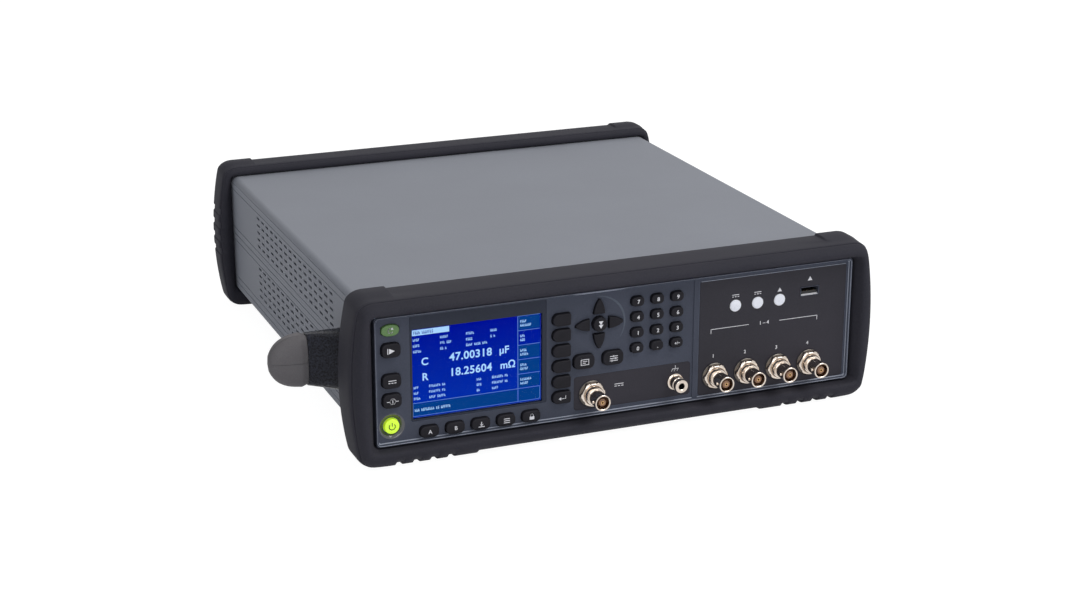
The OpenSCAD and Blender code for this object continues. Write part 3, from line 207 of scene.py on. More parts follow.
finishes = {
    "case_paint": makeFinish(
        "casePaint", (132, 135, 143), (143, 146, 154), rough=(0.55, 0.68), scale=14, speckle=1400,
        share=0.45, grain=1300, depth=0.00004, specular=0.16),
    "zinc_steel": makeFinish(
        "zincSteel", (160, 162, 164), (186, 187, 188), rough=(0.3, 0.45), scale=40, speckle=500, grain=500,
        depth=0.00001, stretch=(0.2, 3, 3), metallic=1.0),
    "panel_plastic": makeFinish(
        "panelPlastic", (63, 67, 79), (73, 77, 90), rough=(0.5, 0.62), scale=18, speckle=1100, grain=1900,
        depth=0.00002, specular=0.14, edge=(88, 94, 108), edgeRadius=0.0006, edgeGain=2.0),
    "plate_plastic": makeFinish(
        "platePlastic", (48, 47, 53), (56, 54, 61), rough=(0.45, 0.55), scale=20, speckle=1200, grain=2200,
        depth=0.000012, specular=0.14),
    "window": makeFinish(
        "windowPane", (225, 230, 240), (235, 238, 245), rough=(0.02, 0.04), depth=0, transmission=1.0,
        ior=1.05, specular=0.04),
    "display": makeFinish(
        "displayFrame", (150, 152, 155), (172, 174, 176), rough=(0.35, 0.5), metallic=1.0, depth=0.00001),
    "silicone": makeFinish("silicone", (74, 76, 80), (88, 90, 94), rough=(0.6, 0.72), depth=0.00002),
    "board": makeFinish(
        "boardMask", (14, 72, 40), (22, 92, 52), rough=(0.25, 0.4), scale=120, speckle=700, coat=0.3,
        depth=0.00001),
    "bumper_rubber": makeFinish(
        "bumperRubber", (46, 46, 53), (56, 55, 62), rough=(0.62, 0.74), scale=16, speckle=1000, share=0.4,
        grain=1500, depth=0.00004, specular=0.09, edge=(72, 71, 79), edgeRadius=0.0012, edgeGain=1.8),
    # dark neck with fine pale speckles: the speckles are painted glints of its glossy grain
    "grip_dark": makeFinish(
        "gripNeck", (15, 15, 21), (46, 48, 58), rough=(0.24, 0.34), scale=60, speckle=900, share=0.85,
        grain=650, depth=0.0003, specular=0.13),
    "grip_grey": makeFinish(
        "gripShell", (98, 95, 97), (109, 107, 109), rough=(0.5, 0.6), scale=30, speckle=1400, share=0.5,
        grain=1600, depth=0.00004, specular=0.15),
    "nickel": makeFinish(
        "nickel", (198, 185, 173), (224, 213, 202), rough=(0.08, 0.17), scale=60, speckle=800, metallic=1.0,
        grain=700, depth=0.000006),
    "insulator": makeFinish(
        "insulator", (128, 94, 72), (152, 116, 90), rough=(0.3, 0.45), scale=200, depth=0.00001),
    "lens": makeFinish(
        "lampLens", (214, 217, 226), (224, 226, 233), rough=(0.25, 0.35), scale=200, coat=0.3,
        depth=0.000008, glow=(214, 217, 226), glowStrength=0.14),
    "black_plastic": makeFinish(
        "blackPlastic", (24, 24, 26), (34, 34, 37), rough=(0.4, 0.55), depth=0.00003),
    "screw_steel": makeFinish(
        "screwSteel", (168, 169, 172), (196, 197, 199), rough=(0.25, 0.38), metallic=1.0, depth=0.00001),
    "key_plastic": makeFinish(
        "keyPlastic", (24, 23, 28), (32, 31, 37), rough=(0.42, 0.52), scale=90, speckle=1600, grain=2600,
        depth=0.00002, specular=0.14, edge=(58, 59, 68), edgeRadius=0.0007, edgeGain=1.2),
    "key_green": makeFinish(
        "keyGreen", (84, 118, 66), (96, 132, 76), rough=(0.4, 0.5), scale=90, grain=2600, depth=0.00002),
    "key_lit": makeFinish(
        "keyLit", (196, 236, 44), (210, 248, 58), rough=(0.3, 0.4), scale=120, depth=0.000008,
        glow=(205, 245, 50), glowStrength=0.35, coat=0.3),
    # much lighter copy of the rim's plastic: a painted highlight on the rim's inner slope and the plate's top edge
    "rimLight": makeFinish(
        "rimLight", (140, 146, 160), (154, 160, 174), rough=(0.4, 0.5), scale=40, depth=0.00001,
        specular=0.2),
    "rimDark": makeFinish(
        "rimDark", (66, 69, 80), (76, 79, 91), rough=(0.4, 0.5), scale=40, depth=0.00001, specular=0.15),
    "dishGloss": makeFinish(
        "dishGloss", (46, 48, 56), (54, 56, 65), rough=(0.2, 0.28), scale=60, depth=0, coat=1.0,
        coatRough=0.08),
    # lighter tone for a crescent on the cursor dish: a painted highlight
    "dishLip": makeFinish(
        "dishLip", (80, 86, 98), (88, 94, 106), rough=(0.4, 0.5), scale=40, depth=0.00001, specular=0.15),
    "legend": makeFinish(
        "legendPrint", (214, 214, 218), (226, 226, 230), rough=(0.5, 0.6), scale=300, depth=0),
    "legendDark": makeFinish(
        "legendDark", (22, 24, 20), (30, 33, 28), rough=(0.5, 0.6), scale=300, depth=0),
    "paneBorder": makeFinish(
        "paneBorder", (46, 50, 61), (52, 56, 68), rough=(0.35, 0.45), scale=20, depth=0.000006,
        specular=0.12),
    "washerSteel": makeFinish(
        "washerSteel", (92, 88, 86), (118, 113, 108), rough=(0.3, 0.42), scale=80, metallic=1.0,
        depth=0.00001),
    "gold": makeFinish(
        "contactGold", (190, 150, 104), (214, 176, 128), rough=(0.2, 0.3), metallic=1.0, depth=0),
    # black of the port and lamp ring plastics, also laid in the ground post's bore as painted shade
    "socketBlack": makeFinish("socketBlack", (10, 10, 12), (18, 18, 20), rough=(0.5, 0.6), depth=0),
    "screenBlue": makeFinish(
        "screenBlue", (0, 2, 50), (0, 6, 62), rough=(0.15, 0.25), scale=9, speckle=30, share=0.1, depth=0,
        specular=0.0, glow=(2, 36, 160), glowStrength=0.9),
    "screenTeal": makeFinish(
        "screenTeal", (0, 14, 40), (0, 18, 48), rough=(0.15, 0.25), scale=12, depth=0, specular=0.0,
        glow=(7, 66, 138), glowStrength=0.95),
    "screenPale": makeFinish(
        "screenPale", (120, 150, 175), (135, 165, 190), rough=(0.2, 0.3), depth=0, specular=0.0,
        glow=(172, 212, 240), glowStrength=0.8),
    "screenRule": makeFinish(
        "screenRule", (60, 85, 120), (70, 95, 130), rough=(0.2, 0.3), depth=0, specular=0.0,
        glow=(96, 138, 198), glowStrength=0.75),
}
tree = finishes["screenBlue"].node_tree            # the lit screen is deeper blue towards its top
rise = useGroup(tree, "rise")
blues = addNode(tree, "ShaderNodeValToRGB")
for element, shade in zip(blues.color_ramp.elements, ((3, 54, 180), (1, 16, 154))):
    element.color = tone(*shade)
wire(tree, (rise, "Share", blues, "Fac"),
     (blues, "Color", tree.nodes["Principled BSDF"], "Emission Color"))
print("finishes:", len(finishes))

# shapes are drawn in millimetres of the design frame


def carried(mesh, items, body, replaces=None):
    # a mesh becomes a piece that rides on its body
    for item in items:
        mesh.materials.append(finishes[item])
    piece = bpy.data.objects.new(mesh.name, mesh)
    scene.collection.objects.link(piece)
    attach(piece, body)
    for node in (replaces or []):
        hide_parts(node)
    return piece


def meshPiece(name, points, faces, finish, slot, body=main, sharp=32, marks=None, replaces=None):
    mesh = bpy.data.meshes.new(name)
    mesh.from_pydata([place(*p) for p in points], [], faces)
    if marks:
        for polygon, index in zip(mesh.polygons, marks):
            polygon.material_index = index
    work = bmesh.new()
    work.from_mesh(mesh)
    bmesh.ops.remove_doubles(work, verts=work.verts, dist=0.000002)
    bmesh.ops.dissolve_degenerate(work, edges=work.edges, dist=0.000001)
    bmesh.ops.recalc_face_normals(work, faces=work.faces)
    for edge in work.edges:
        edge.smooth = edge.calc_face_angle(0) < math.radians(sharp)
    for face in work.faces:
        face.smooth = True
    work.to_mesh(mesh)
    work.free()
    return carried(mesh, finish if isinstance(finish, list) else [finish], body, replaces)


class Shape:
    # collects points and faces of one piece
    def __init__(self):
        self.points, self.faces, self.marks = [], [], []

    def add(self, points, faces, mark=0):
        start = len(self.points)
        self.points += points
        self.faces += [tuple(start + i for i in face) for face in faces]
        self.marks += [mark] * len(faces)

    def skin(self, loops, mark=0, caps=(True, True)):
        count = len(loops[0])
        points = [p for loop in loops for p in loop]
        faces = []
        for i in range(len(loops) - 1):
            for j in range(count):
                k = (j + 1) % count
                faces.append((i * count + j, i * count + k, (i + 1) * count + k, (i + 1) * count + j))
        if caps[0]:
            faces.append(tuple(range(count)))
        if caps[1]:
            faces.append(tuple(range((len(loops) - 1) * count, len(loops) * count)))
        self.add(points, faces, mark)

    def turn(self, profile, x, z, steps=48, mark=0, closed=False):
        rings = profile + ([profile[0]] if closed else [])
        self.skin([circle(x, y, z, radius, steps) for radius, y in rings], mark, caps=(False, False))

    def box(self, low, high, mark=0):
        (x0, y0, z0), (x1, y1, z1) = low, high
        points = [(x, y, z) for x in (x0, x1) for y in (y0, y1) for z in (z0, z1)]
        self.add(points, [(0, 1, 3, 2), (4, 6, 7, 5), (0, 4, 5, 1), (2, 3, 7, 6), (0, 2, 6, 4),
                          (1, 5, 7, 3)], mark)

    def piece(self, name, finish, slot, **more):
        return meshPiece(name, self.points, self.faces, finish, slot, marks=self.marks, **more)


def circle(x, y, z, radius, steps):
    return [(x + radius * math.cos(a), y, z + radius * math.sin(a))
            for a in (2 * math.pi * i / steps for i in range(steps))]


def arcPoints(x, z, radius, start, end, count):
    return [(x + radius * math.cos(math.radians(start + (end - start) * i / count)),
             z + radius * math.sin(math.radians(start + (end - start) * i / count)))
            for i in range(count + 1)]


def corners(spots, count=7):
    # outline round corner circles given as (x, z, radius), from the lower right, anticlockwise
    points = []
    for (x, z, radius), start in zip(spots, (-90, 0, 90, 180)):
        points += arcPoints(x, z, max(radius, 0.05), start, start + 90, count)
    return points


def roundRect(width, height, radius, count=7, x=0.0, z=0.0):
    w, h = width / 2 - radius, height / 2 - radius
    return corners([(x + w, z - h, radius), (x + w, z + h, radius), (x - w, z + h, radius),
                    (x - w, z - h, radius)], count)


# the keys, each a cushioned cap with its print

keySizes = {
    "fillet": 0.75, "sag": 0.35, "lip": 0.6, "flange": (2.8, 4.0), "stemRadius": 1.6, "stemEnd": 4.9,
    "end": (11.5, 8.6, 3.0), "low": (11.7, 7.1, 2.8), "function": (13.4, 9.0, 3.4), "digit": (8.2, 6.0, 2.4),
    "soft": (11.7, 7.6, 3.6, 1.2), "oval": (5.55, 3.6), "power": 4.6, "enter": 4.5,
    "petalInner": 6.3, "petalLength": 9.3, "petalWidth": 7.3, "petalBlunt": 0.7,
}


def petalOutline(grow, turn):
    blunt = keySizes["petalBlunt"]
    w = keySizes["petalWidth"] + 2 * grow
    h = keySizes["petalLength"] + 2 * grow + blunt
    r = (h * h + w * w / 4) / w
    reach = h - blunt
    side = []
    for i in range(200):                          # where the side meets the blunt tip
        z = reach * i / 199
        x = math.sqrt(r * r - z * z) - (r - w / 2)
        if x * x + z * z >= reach * reach:
            break
        side.append((x, z))
    picked = [side[round(i * (len(side) - 1) / 11)] for i in range(12)]
    angle = math.atan2(picked[-1][1], picked[-1][0])
    tip = [(reach * math.cos(angle + (math.pi - 2 * angle) * i / 8),
            reach * math.sin(angle + (math.pi - 2 * angle) * i / 8)) for i in range(1, 8)]
    base = [(-w / 2 + w * i / 6, 0.0) for i in range(1, 6)]
    points = picked + tip + [(-x, z) for x, z in reversed(picked)] + base
    lift = keySizes["petalInner"] - grow
    spin = Matrix.Rotation(math.radians(turn), 2)
    return [tuple(spin @ Vector((x, z + lift))) for x, z in points]


def keyOutline(shape, grow):
    if shape in ("end", "low", "function", "digit"):
        w, h, r = keySizes[shape]
        return roundRect(w + 2 * grow, h + 2 * grow, r + grow)
    if shape in ("power", "enter"):
        return arcPoints(0, 0, keySizes[shape] + grow, 0, 352.5, 47)
    if shape == "oval":
        a, b = keySizes["oval"][0] + grow, keySizes["oval"][1] + grow
        points = []
        for i in range(48):
            t = 2 * math.pi * i / 48
            c, s = math.cos(t), math.sin(t)
            points.append((a * math.copysign(abs(c) ** 0.86, c), b * math.copysign(abs(s) ** 0.86, s)))
        return points
    if shape == "soft":
        w, h, r, small = keySizes["soft"]
        w, h, r, small = w / 2 + grow, h / 2 + grow, r + grow, small + grow
        return corners([(w - small, small - h, small), (w - small, h - small, small),
                        (r - w, h - r, r), (r - w, r - h, r)])
    return petalOutline(grow, {"up": 0, "left": 90, "down": 180, "right": -90}[shape])


def stemShift(shape):
    reach = keySizes["petalInner"] + 0.4 * keySizes["petalLength"]
    shifts = {"up": (0, reach), "down": (0, -reach), "left": (-reach, 0), "right": (reach, 0)}
    return shifts.get(shape, (0, 0))


def makeKey(name, x, z, shape, proud, finish, slot):
    fillet = min(keySizes["fillet"], proud * 0.6)
    sag = keySizes["sag"] * (0.5 if proud < 2 else 1)
    flangeFront, flangeBack = keySizes["flange"]
    rows = [(keySizes["lip"], flangeBack), (keySizes["lip"], flangeFront), (0, flangeFront)]
    for i in range(7):
        a = math.radians(90 * i / 6)
        rows.append((-fillet * (1 - math.cos(a)), sag - proud + fillet * (1 - math.sin(a))))
    loops = [[(x + px, y, z + pz) for px, pz in keyOutline(shape, grow)] for grow, y in rows]
    rim = keyOutline(shape, -fillet)
    cx = sum(p[0] for p in rim) / len(rim)
    cz = sum(p[1] for p in rim) / len(rim)
    for share in (0.85, 0.65, 0.4, 0.15):
        y = sag * share * share - proud
        loops.append([(x + cx + (px - cx) * share, y, z + cz + (pz - cz) * share) for px, pz in rim])
    shapeMesh = Shape()
    shapeMesh.skin(loops)
    sx, sz = stemShift(shape)
    shapeMesh.turn([(0, flangeBack - 0.1), (keySizes["stemRadius"], flangeBack - 0.1),
                    (keySizes["stemRadius"], keySizes["stemEnd"]), (0, keySizes["stemEnd"])],
                   x + sx, z + sz, 20)
    return shapeMesh.piece(name + "_cap", finish, slot, body=name, replaces=[name])


keyList = [("key_preset", -147, 85.0, "oval", 1.5), ("key_trigger", -147, 73.0, "end", 3),
           ("key_bias", -147, 54.0, "end", 3), ("key_source", -147, 41.8, "end", 3),
           ("key_power", -147, 25.3, "power", 0.8)]
keyList += [("key_soft_%d" % (i + 1), -40.2, 28.5 + (5 - i) * 9.88, "soft", 3) for i in range(6)]
keyList += [("key_low_%d" % (i + 1), -124.3 + 16.1 * i, 19.35, "low", 3) for i in range(5)]
keyList += [("key_" + way, -15.3, 71.9, way, 1.5) for way in ("up", "left", "down", "right")]
keyList += [("key_enter", -15.3, 71.9, "enter", 3)]
keyList += [("key_function_%d" % (i + 1), -25.6 + 19 * i, 49.5, "function", 3) for i in range(2)]
digitNames = ["0", "point", "sign", "1", "2", "3", "4", "5", "6", "7", "8", "9"]
keyList += [("key_" + digitNames[i], 9.3 + 13.2 * (i % 3), 53.5 + 9.95 * (i // 3), "digit", 3)
            for i in range(12)]
keySpots = {}
for keyName, keyX, keyZ, keyShape, keyProud in keyList:
    slotName = {"key_preset": "key_green", "key_power": "key_lit"}.get(keyName, "key_plastic")
    makeKey(keyName, keyX, keyZ, keyShape, keyProud, slotName, slotName)
    keySpots[keyName] = (keyX, keyZ, keyProud)
print("keys:", len(keyList))

# print on the keys and the panel


def flatPiece(name, polygons, y, finish, slot, body=main, thick=0.03):
    # polygons are closed (x, z) outlines, laid just in front of a surface
    shape = Shape()
    for polygon in polygons:
        count = len(polygon)
        front = [(px, y - thick, pz) for px, pz in polygon]
        back = [(px, y, pz) for px, pz in polygon]
        faces = [tuple(range(count)), tuple(reversed(range(count, 2 * count)))]
        faces += [(i, (i + 1) % count, count + (i + 1) % count, count + i) for i in range(count)]
        shape.add(front + back, faces)
    return shape.piece(name, finish, slot, body=body)


def stroke(points, width, loop=False):
    # ribbon of one width along a line of points, as one quad for each step
    quads = []
    half = width / 2
    count = len(points)
    normals = []
    for i in range(count):
        before = points[(i - 1) % count] if (loop or i > 0) else points[i]
        after = points[(i + 1) % count] if (loop or i < count - 1) else points[i]
        dx, dz = after[0] - before[0], after[1] - before[1]
        size = math.hypot(dx, dz) or 1
        normals.append((-dz / size * half, dx / size * half))
    for i in range(count if loop else count - 1):
        j = (i + 1) % count
        (ax, az), (bx, bz) = points[i], points[j]
        (nx, nz), (mx, mz) = normals[i], normals[j]
        quads.append([(ax + nx, az + nz), (ax - nx, az - nz), (bx - mx, bz - mz), (bx + mx, bz + mz)])
    return quads


def barShape(x0, z0, x1, z1):
    return [(x0, z0), (x1, z0), (x1, z1), (x0, z1)]


def moved(polygons, x, z):
    return [[(x + px, z + pz) for px, pz in polygon] for polygon in polygons]


def wordPiece(name, body, text, x, z, height, y, finish="legend", bold=0.0, spread=1.0):
    curve = bpy.data.curves.new(name, "FONT")
    curve.body = text
    curve.size = height * mm / 0.72
    curve.align_x = "CENTER"
    curve.align_y = "CENTER"
    curve.offset = bold * mm
    curve.space_character = spread
    curve.extrude = 0.015 * mm
    curve.resolution_u = 4
    helper = bpy.data.objects.new(name, curve)
    scene.collection.objects.link(helper)
    bpy.context.view_layer.update()
    mesh = bpy.data.meshes.new_from_object(helper.evaluated_get(bpy.context.evaluated_depsgraph_get()))
    bpy.data.objects.remove(helper)
    turn = Matrix.Translation(place(x, y, z)) @ Matrix.Rotation(math.radians(90), 4, "X")
    mesh.transform(turn)
    mesh.name = name
    mesh.materials.clear()
    return carried(mesh, [finish], body)


def steadyMark(x, z, half, dash, drop, thick=0.45):
    # a bar over three dashes, centred on x, with the bar's lower edge at z
    marks = [barShape(x - half, z, x + half, z + thick)]
    for left in (x - half, x - dash / 2, x + half - dash):
        marks.append(barShape(left, z - drop, left + dash, z - drop + thick))
    return marks


icons = {
    "key_preset": stroke(arcPoints(0, 0, 1.5, 60, 330, 16), 0.5) + [[(0.2, 0.6), (1.9, 0.5), (1.2, 2.0)]],
    "key_trigger": [[(-1.6, -1.7), (1.9, 0), (-1.6, 1.7)]] + [barShape(-2.6, -1.7, -2.1, 1.7)],
    "key_bias": steadyMark(0, 0.5, 2.4, 1.2, 1.4, 0.5),
    "key_source": stroke(arcPoints(0, 0, 1.7, 0, 345, 23), 0.45, True) + [barShape(-0.22, -1.0, 0.22, 1.0),
                  barShape(-3.6, -0.22, -1.7, 0.22), barShape(1.7, -0.22, 3.6, 0.22)],
    "key_low_3": [barShape(-1.9, -1.7, 1.9, -1.2), barShape(-0.25, -0.4, 0.25, 1.7),
                  [(-1.1, 0.1), (0, -1.0), (1.1, 0.1)]],
    "key_low_4": [barShape(-1.9, z, 1.9, z + 0.5) for z in (-1.5, -0.25, 1.0)],
    "key_low_5": [barShape(-1.5, -1.6, 1.5, 0.3)] + stroke(
        [(-0.9, 0.3), (-0.9, 1.0)] + arcPoints(0, 1.0, 0.9, 180, 0, 8) + [(0.9, 0.3)], 0.42),
    "key_soft_6": stroke([(2.2, 1.4), (2.2, -0.3), (-1.0, -0.3)], 0.45) + [
        [(-0.8, -1.4), (-0.8, 0.8), (-2.4, -0.3)]],
    "key_function_1": [barShape(-2.7, -1.9, 2.7, -1.5), barShape(-2.7, 1.5, 2.7, 1.9),
                       barShape(-2.7, -1.5, -2.3, 1.5), barShape(2.3, -1.5, 2.7, 1.5),
                       barShape(-1.5, 0.3, 1.5, 0.7), barShape(-1.5, -0.8, 0.6, -0.4)],
    "key_function_2": [barShape(-2.6, z - 0.2, 2.6, z + 0.2) for z in (-1.4, 0.0, 1.4)]
                      + [barShape(a - 0.45, z - 0.6, a + 0.45, z + 0.6)
                         for a, z in ((-1.2, -1.4), (1.1, 0.0), (-0.2, 1.4))],
    "key_enter": [[(-1.5, 2.3), (1.5, 2.3), (0, -0.1)], [(-1.5, 0.1), (1.5, 0.1), (0, -2.3)]],
    "key_power": stroke(arcPoints(0, 0, 1.9, -225, 45, 20), 0.5) + [barShape(-0.25, 0.2, 0.25, 2.5)],
}
for keyName, polygons in icons.items():
    keyX, keyZ, keyProud = keySpots[keyName]
    ink, under = ("legendDark", "key_lit") if keyName == "key_power" else ("legend", "key_plastic")
    flatPiece(keyName + "_mark", moved(polygons, keyX, keyZ), -keyProud - 0.01, ink, under, body=keyName)
keyWords = {"key_low_1": "A", "key_low_2": "B", "key_point": ".", "key_sign": "+/−"}
keyWords.update({"key_%d" % i: str(i) for i in range(10)})
for keyName, word in keyWords.items():
    keyX, keyZ, keyProud = keySpots[keyName]
    wordPiece(keyName + "_mark", keyName, word, keyX, keyZ, 2.5 if len(word) == 1 else 1.9,
              -keyProud - 0.02, bold=0.06)
print("marks on keys:", len(icons) + len(keyWords))

# the rubber bumpers at the front and the rear

bumper = {
    "half": (172.5, 170.5), "bow": 4.5, "bowHeight": 51.75, "height": 103.5, "lowRound": 14.0, "lowIn": 2.0,
    "topRound": 12.0, "topIn": 3.0, "padHeight": 1.3, "padWidth": (30.0, 11.0), "foot": 77.0, "relief": 1.6,
    "grooves": (28.5, 39.3, 50.1, 60.9), "grooveWidth": 5.0, "grooveDepth": 1.9, "ease": 0.35,
    "floorStops": (0.0, 40.0, 80.0, 102.0, 149.5), "roofStops": (151.5, 147), "ridge": (120, 80, 40, 0),
    "fingerGrooves": (42.2, 51.9, 61.6, 71.3), "fingerWidth": 4.6, "fingerDepth": 0.8,
    "gap": 0.3, "caseHalf": 159.5, "caseLow": 13.0, "caseHigh": 97.0, "caseRound": 4.0,
    "mouth": (158.3, 12.3, 94.8), "lip": (155.5, 17.0, 93.0), "padStart": 92.8, "bowMargin": 8,
}


def outerSide(half, z):
    # bowed side of a bumper at one height
    middle = bumper["bowHeight"]
    reach = middle - bumper["bowMargin"]
    radius = (reach * reach + bumper["bow"] ** 2) / (2 * bumper["bow"])
    return half - radius + math.sqrt(max(radius * radius - (z - middle) ** 2, 1))


def notch(value, centres, width, depth):
    # depth at one spot of a row of small grooves
    for centre in centres:
        near = width / 2 + bumper["ease"] - abs(value - centre)
        if near > 0:
            return depth * min(1, near / (2 * bumper["ease"]))
    return 0.0


def grooveStops(centre, width):
    # places where the profile of a groove bends
    edge, ease = width / 2, bumper["ease"]
    return {centre + step for step in (-edge - ease, ease - edge, edge - ease, edge + ease)}


def halfOuter(half):
    # right half of the outline from the bottom middle to the top middle: outer point, case point, kind
    points = []
    low, top = bumper["lowRound"], bumper["topRound"]
    high = bumper["height"] + bumper["padHeight"]
    lowX, topX = half - bumper["lowIn"] - low, half - bumper["topIn"] - top
    inner = bumper["caseHalf"] + bumper["gap"]
    r = bumper["caseRound"] + bumper["gap"]
    bottom, ceiling = bumper["caseLow"] - bumper["gap"], bumper["caseHigh"] + bumper["gap"]
    foot = half - bumper["foot"]
    stops = {foot - 1.5, foot, *bumper["floorStops"]}
    for fromSide in bumper["grooves"]:
        stops |= {half - fromSide} | grooveStops(half - fromSide, bumper["grooveWidth"])
    for x in sorted(stops):
        points.append(((x, 0.0), (min(x, inner - r), bottom), "bottom"))

    def roundCorner(start, x, z, radius, level, kind):
        for i in range(1, 15):
            a, b = math.radians(start + 90 * i / 15), math.radians(start + 90 * min(1, i / 12))
            out, up = x + radius * math.cos(a), z + radius * math.sin(a)
            points.append(((min(out, outerSide(half, up)), up),
                           (inner - r + r * math.cos(b), level + r * math.sin(b)), kind))

    roundCorner(-90, lowX, low, low, bottom + r, "low")
    sideStart, sideEnd = low, high - top
    heights = {sideStart + (sideEnd - sideStart) * i / 20 for i in range(21)}
    for centre in bumper["fingerGrooves"]:
        heights |= grooveStops(centre, bumper["fingerWidth"])
    for z in sorted(heights):
        share = (z - sideStart) / (sideEnd - sideStart)
        points.append(((outerSide(half, z), z),
                       (inner, bottom + r + (ceiling - bottom - 2 * r) * share), "side"))
    roundCorner(0, topX, sideEnd, top, ceiling - r, "top")
    pad = half - bumper["padWidth"][0]
    for x in (topX, *bumper["roofStops"], pad + 0.7, pad + 0.2, pad - 0.4, *bumper["ridge"]):
        points.append(((x, high), (min(x, inner - r), ceiling), "roof"))
    return points


def smoothOutline(points, rounds=3):
    # eases the joins of arcs and bowed sides
    places = [list(p[0]) for p in points]
    for _ in range(rounds):
        fresh = [list(p) for p in places]
        for i in range(1, len(points) - 1):
            if points[i][2] in ("low", "top"):
                for axis in (0, 1):
                    fresh[i][axis] = (places[i - 1][axis] + 2 * places[i][axis] + places[i + 1][axis]) / 4
        places = fresh
    return [(tuple(places[i]), points[i][1], points[i][2]) for i in range(len(points))]


def bottomLift(half, x):
    fromSide = half - abs(x)
    if fromSide > bumper["foot"]:
        return bumper["relief"] * min(1, (fromSide - bumper["foot"]) / 1.5)
    return notch(fromSide, bumper["grooves"], bumper["grooveWidth"], bumper["grooveDepth"])


def padDrop(half, x, z, share):
    # how far a point of the top lies below the pads' level
    start = half - bumper["padWidth"][0]
    inside = min(1, max(0, (abs(x) - start + 0.4) / 1.1))
    corner = min(1, max(0, (z - bumper["padStart"]) / bumper["topRound"]))
    return bumper["padHeight"] * corner * (1 - inside * share)


def edgePoint(inner, edge):
    # point of an opening's edge that matches a point of the case outline
    if edge == "case":
        return inner
    x, z = inner
    half = bumper["caseHalf"] + bumper["gap"]
    side, low, high = bumper[edge]
    middle = (bumper["caseLow"] + bumper["caseHigh"]) / 2
    reach = (bumper["caseHigh"] - bumper["caseLow"]) / 2 + bumper["gap"]
    return (x * side / half, (low + high) / 2 + (z - middle) * (high - low) / 2 / reach)


def bumperLoops(half, profile, fingers):
    # one loop round the frame for each step: top, side and bottom share, y, pad share, inner edge
    right = smoothOutline(halfOuter(half))
    whole = right + [((-o[0], o[1]), (-i[0], i[1]), kind) for (o, i, kind) in reversed(right[1:-1])]
    loops = []
    for topShare, sideShare, lowShare, y, padShare, edge in profile:
        loop = []
        for index, (outer, inner, kind) in enumerate(whole):
            before, after = whole[index - 1][0], whole[(index + 1) % len(whole)][0]
            tangent = Vector((after[0] - before[0], after[1] - before[1]))
            level = min(1, abs(tangent.x) / (tangent.length or 1)) ** 2
            if kind == "side":
                level = 0
            flatShare = topShare if outer[1] > bumper["bowHeight"] else lowShare
            share = sideShare + (flatShare - sideShare) * level
            x, z = outer
            if kind == "bottom":
                z += bottomLift(half, x)
            elif kind in ("roof", "top"):
                z -= padDrop(half, x, z, padShare)
            elif fingers:
                x -= math.copysign(notch(z, bumper["fingerGrooves"], bumper["fingerWidth"],
                                         bumper["fingerDepth"]), x)
            px, pz = edgePoint(inner, edge)
            loop.append((px + (x - px) * share, y, pz + (z - pz) * share))
        loops.append(loop)
    return loops


frontProfile = [row + ("case",) for row in ((0, 0, 0, 22, 1), (0, 0, 0, 15.4, 1))]
frontProfile += [row + ("mouth",) for row in (
    (0, 0, 0, 14.6, 1), (0, 0, 0, 0.5, 0), (0.01, 0.106, 0.008, -3.0, 0), (0.06, 0.24, 0.03, -5.9, 0),
    (0.12, 0.31, 0.07, -7.1, 0), (0.20, 0.375, 0.13, -7.75, 0), (0.31, 0.458, 0.23, -8.0, 0),
    (0.46, 0.585, 0.377, -7.75, 0), (0.632, 0.697, 0.54, -6.9, 0), (0.79, 0.80, 0.70, -5.3, 0),
    (0.905, 0.868, 0.83, -3.6, 0), (0.94, 0.893, 0.872, -2.5, 0), (0.885, 0.866, 0.85, -1.95, 0),
    (0.885, 0.866, 0.85, -1.5, 0), (0.965, 0.94, 0.915, -1.25, 0), (0.985, 0.962, 0.935, -0.7, 0),
    (0.996, 0.985, 0.965, 1.0, 0), (1, 0.997, 0.99, 3.5, 0), (1, 1, 1, 7, 0.35), (1, 1, 1, 12, 1),
    (1, 1, 1, 20.9, 1), (0.985, 0.992, 0.99, 21.7, 1), (0.95, 0.97, 0.96, 22, 1))]
rearProfile = [row + ("lip",) for row in (
    (0.2, 0.2, 0.2, 342, 1), (0, 0, 0, 341.6, 1), (0, 0, 0, 326.4, 0))]
rearProfile += [row + ("case",) for row in (
    (0, 0, 0, 326.4, 0), (0, 0, 0, 320.6, 0), (0.02, 0.10, 0.02, 319.4, 0), (0.06, 0.24, 0.06, 318.2, 0),
    (0.14, 0.36, 0.13, 317.35, 0), (0.27, 0.46, 0.24, 317.0, 0), (0.45, 0.58, 0.42, 317.0, 0),
    (0.62, 0.70, 0.60, 317.25, 0), (0.77, 0.80, 0.76, 318.0, 0), (0.87, 0.865, 0.87, 319.1, 0),
    (0.84, 0.84, 0.84, 319.7, 0), (0.84, 0.84, 0.84, 320.2, 0), (0.95, 0.935, 0.95, 320.5, 0),
    (0.985, 0.975, 0.985, 321.3, 0), (1, 0.995, 1, 323, 0), (1, 1, 1, 326, 0.4), (1, 1, 1, 329, 1),
    (1, 1, 1, 334, 1), (0.985, 0.99, 0.985, 336.5, 1), (0.93, 0.95, 0.93, 338.7, 1),
    (0.83, 0.87, 0.83, 340.5, 1), (0.68, 0.74, 0.68, 341.6, 1), (0.5, 0.55, 0.5, 342, 1))]
for side, half, profile, fingers in (("front", bumper["half"][0], frontProfile, False),
                                     ("rear", bumper["half"][1], rearProfile, True)):
    shape = Shape()
    loops = bumperLoops(half, profile, fingers)
    shape.skin(loops + [loops[0]], caps=(False, False))
    shape.piece(side + "_bumper_moulding", "bumper_rubber", "bumper_rubber", sharp=34,
                replaces=[side + "_bumper"])
print("bumpers done")

# the short grip on the left side

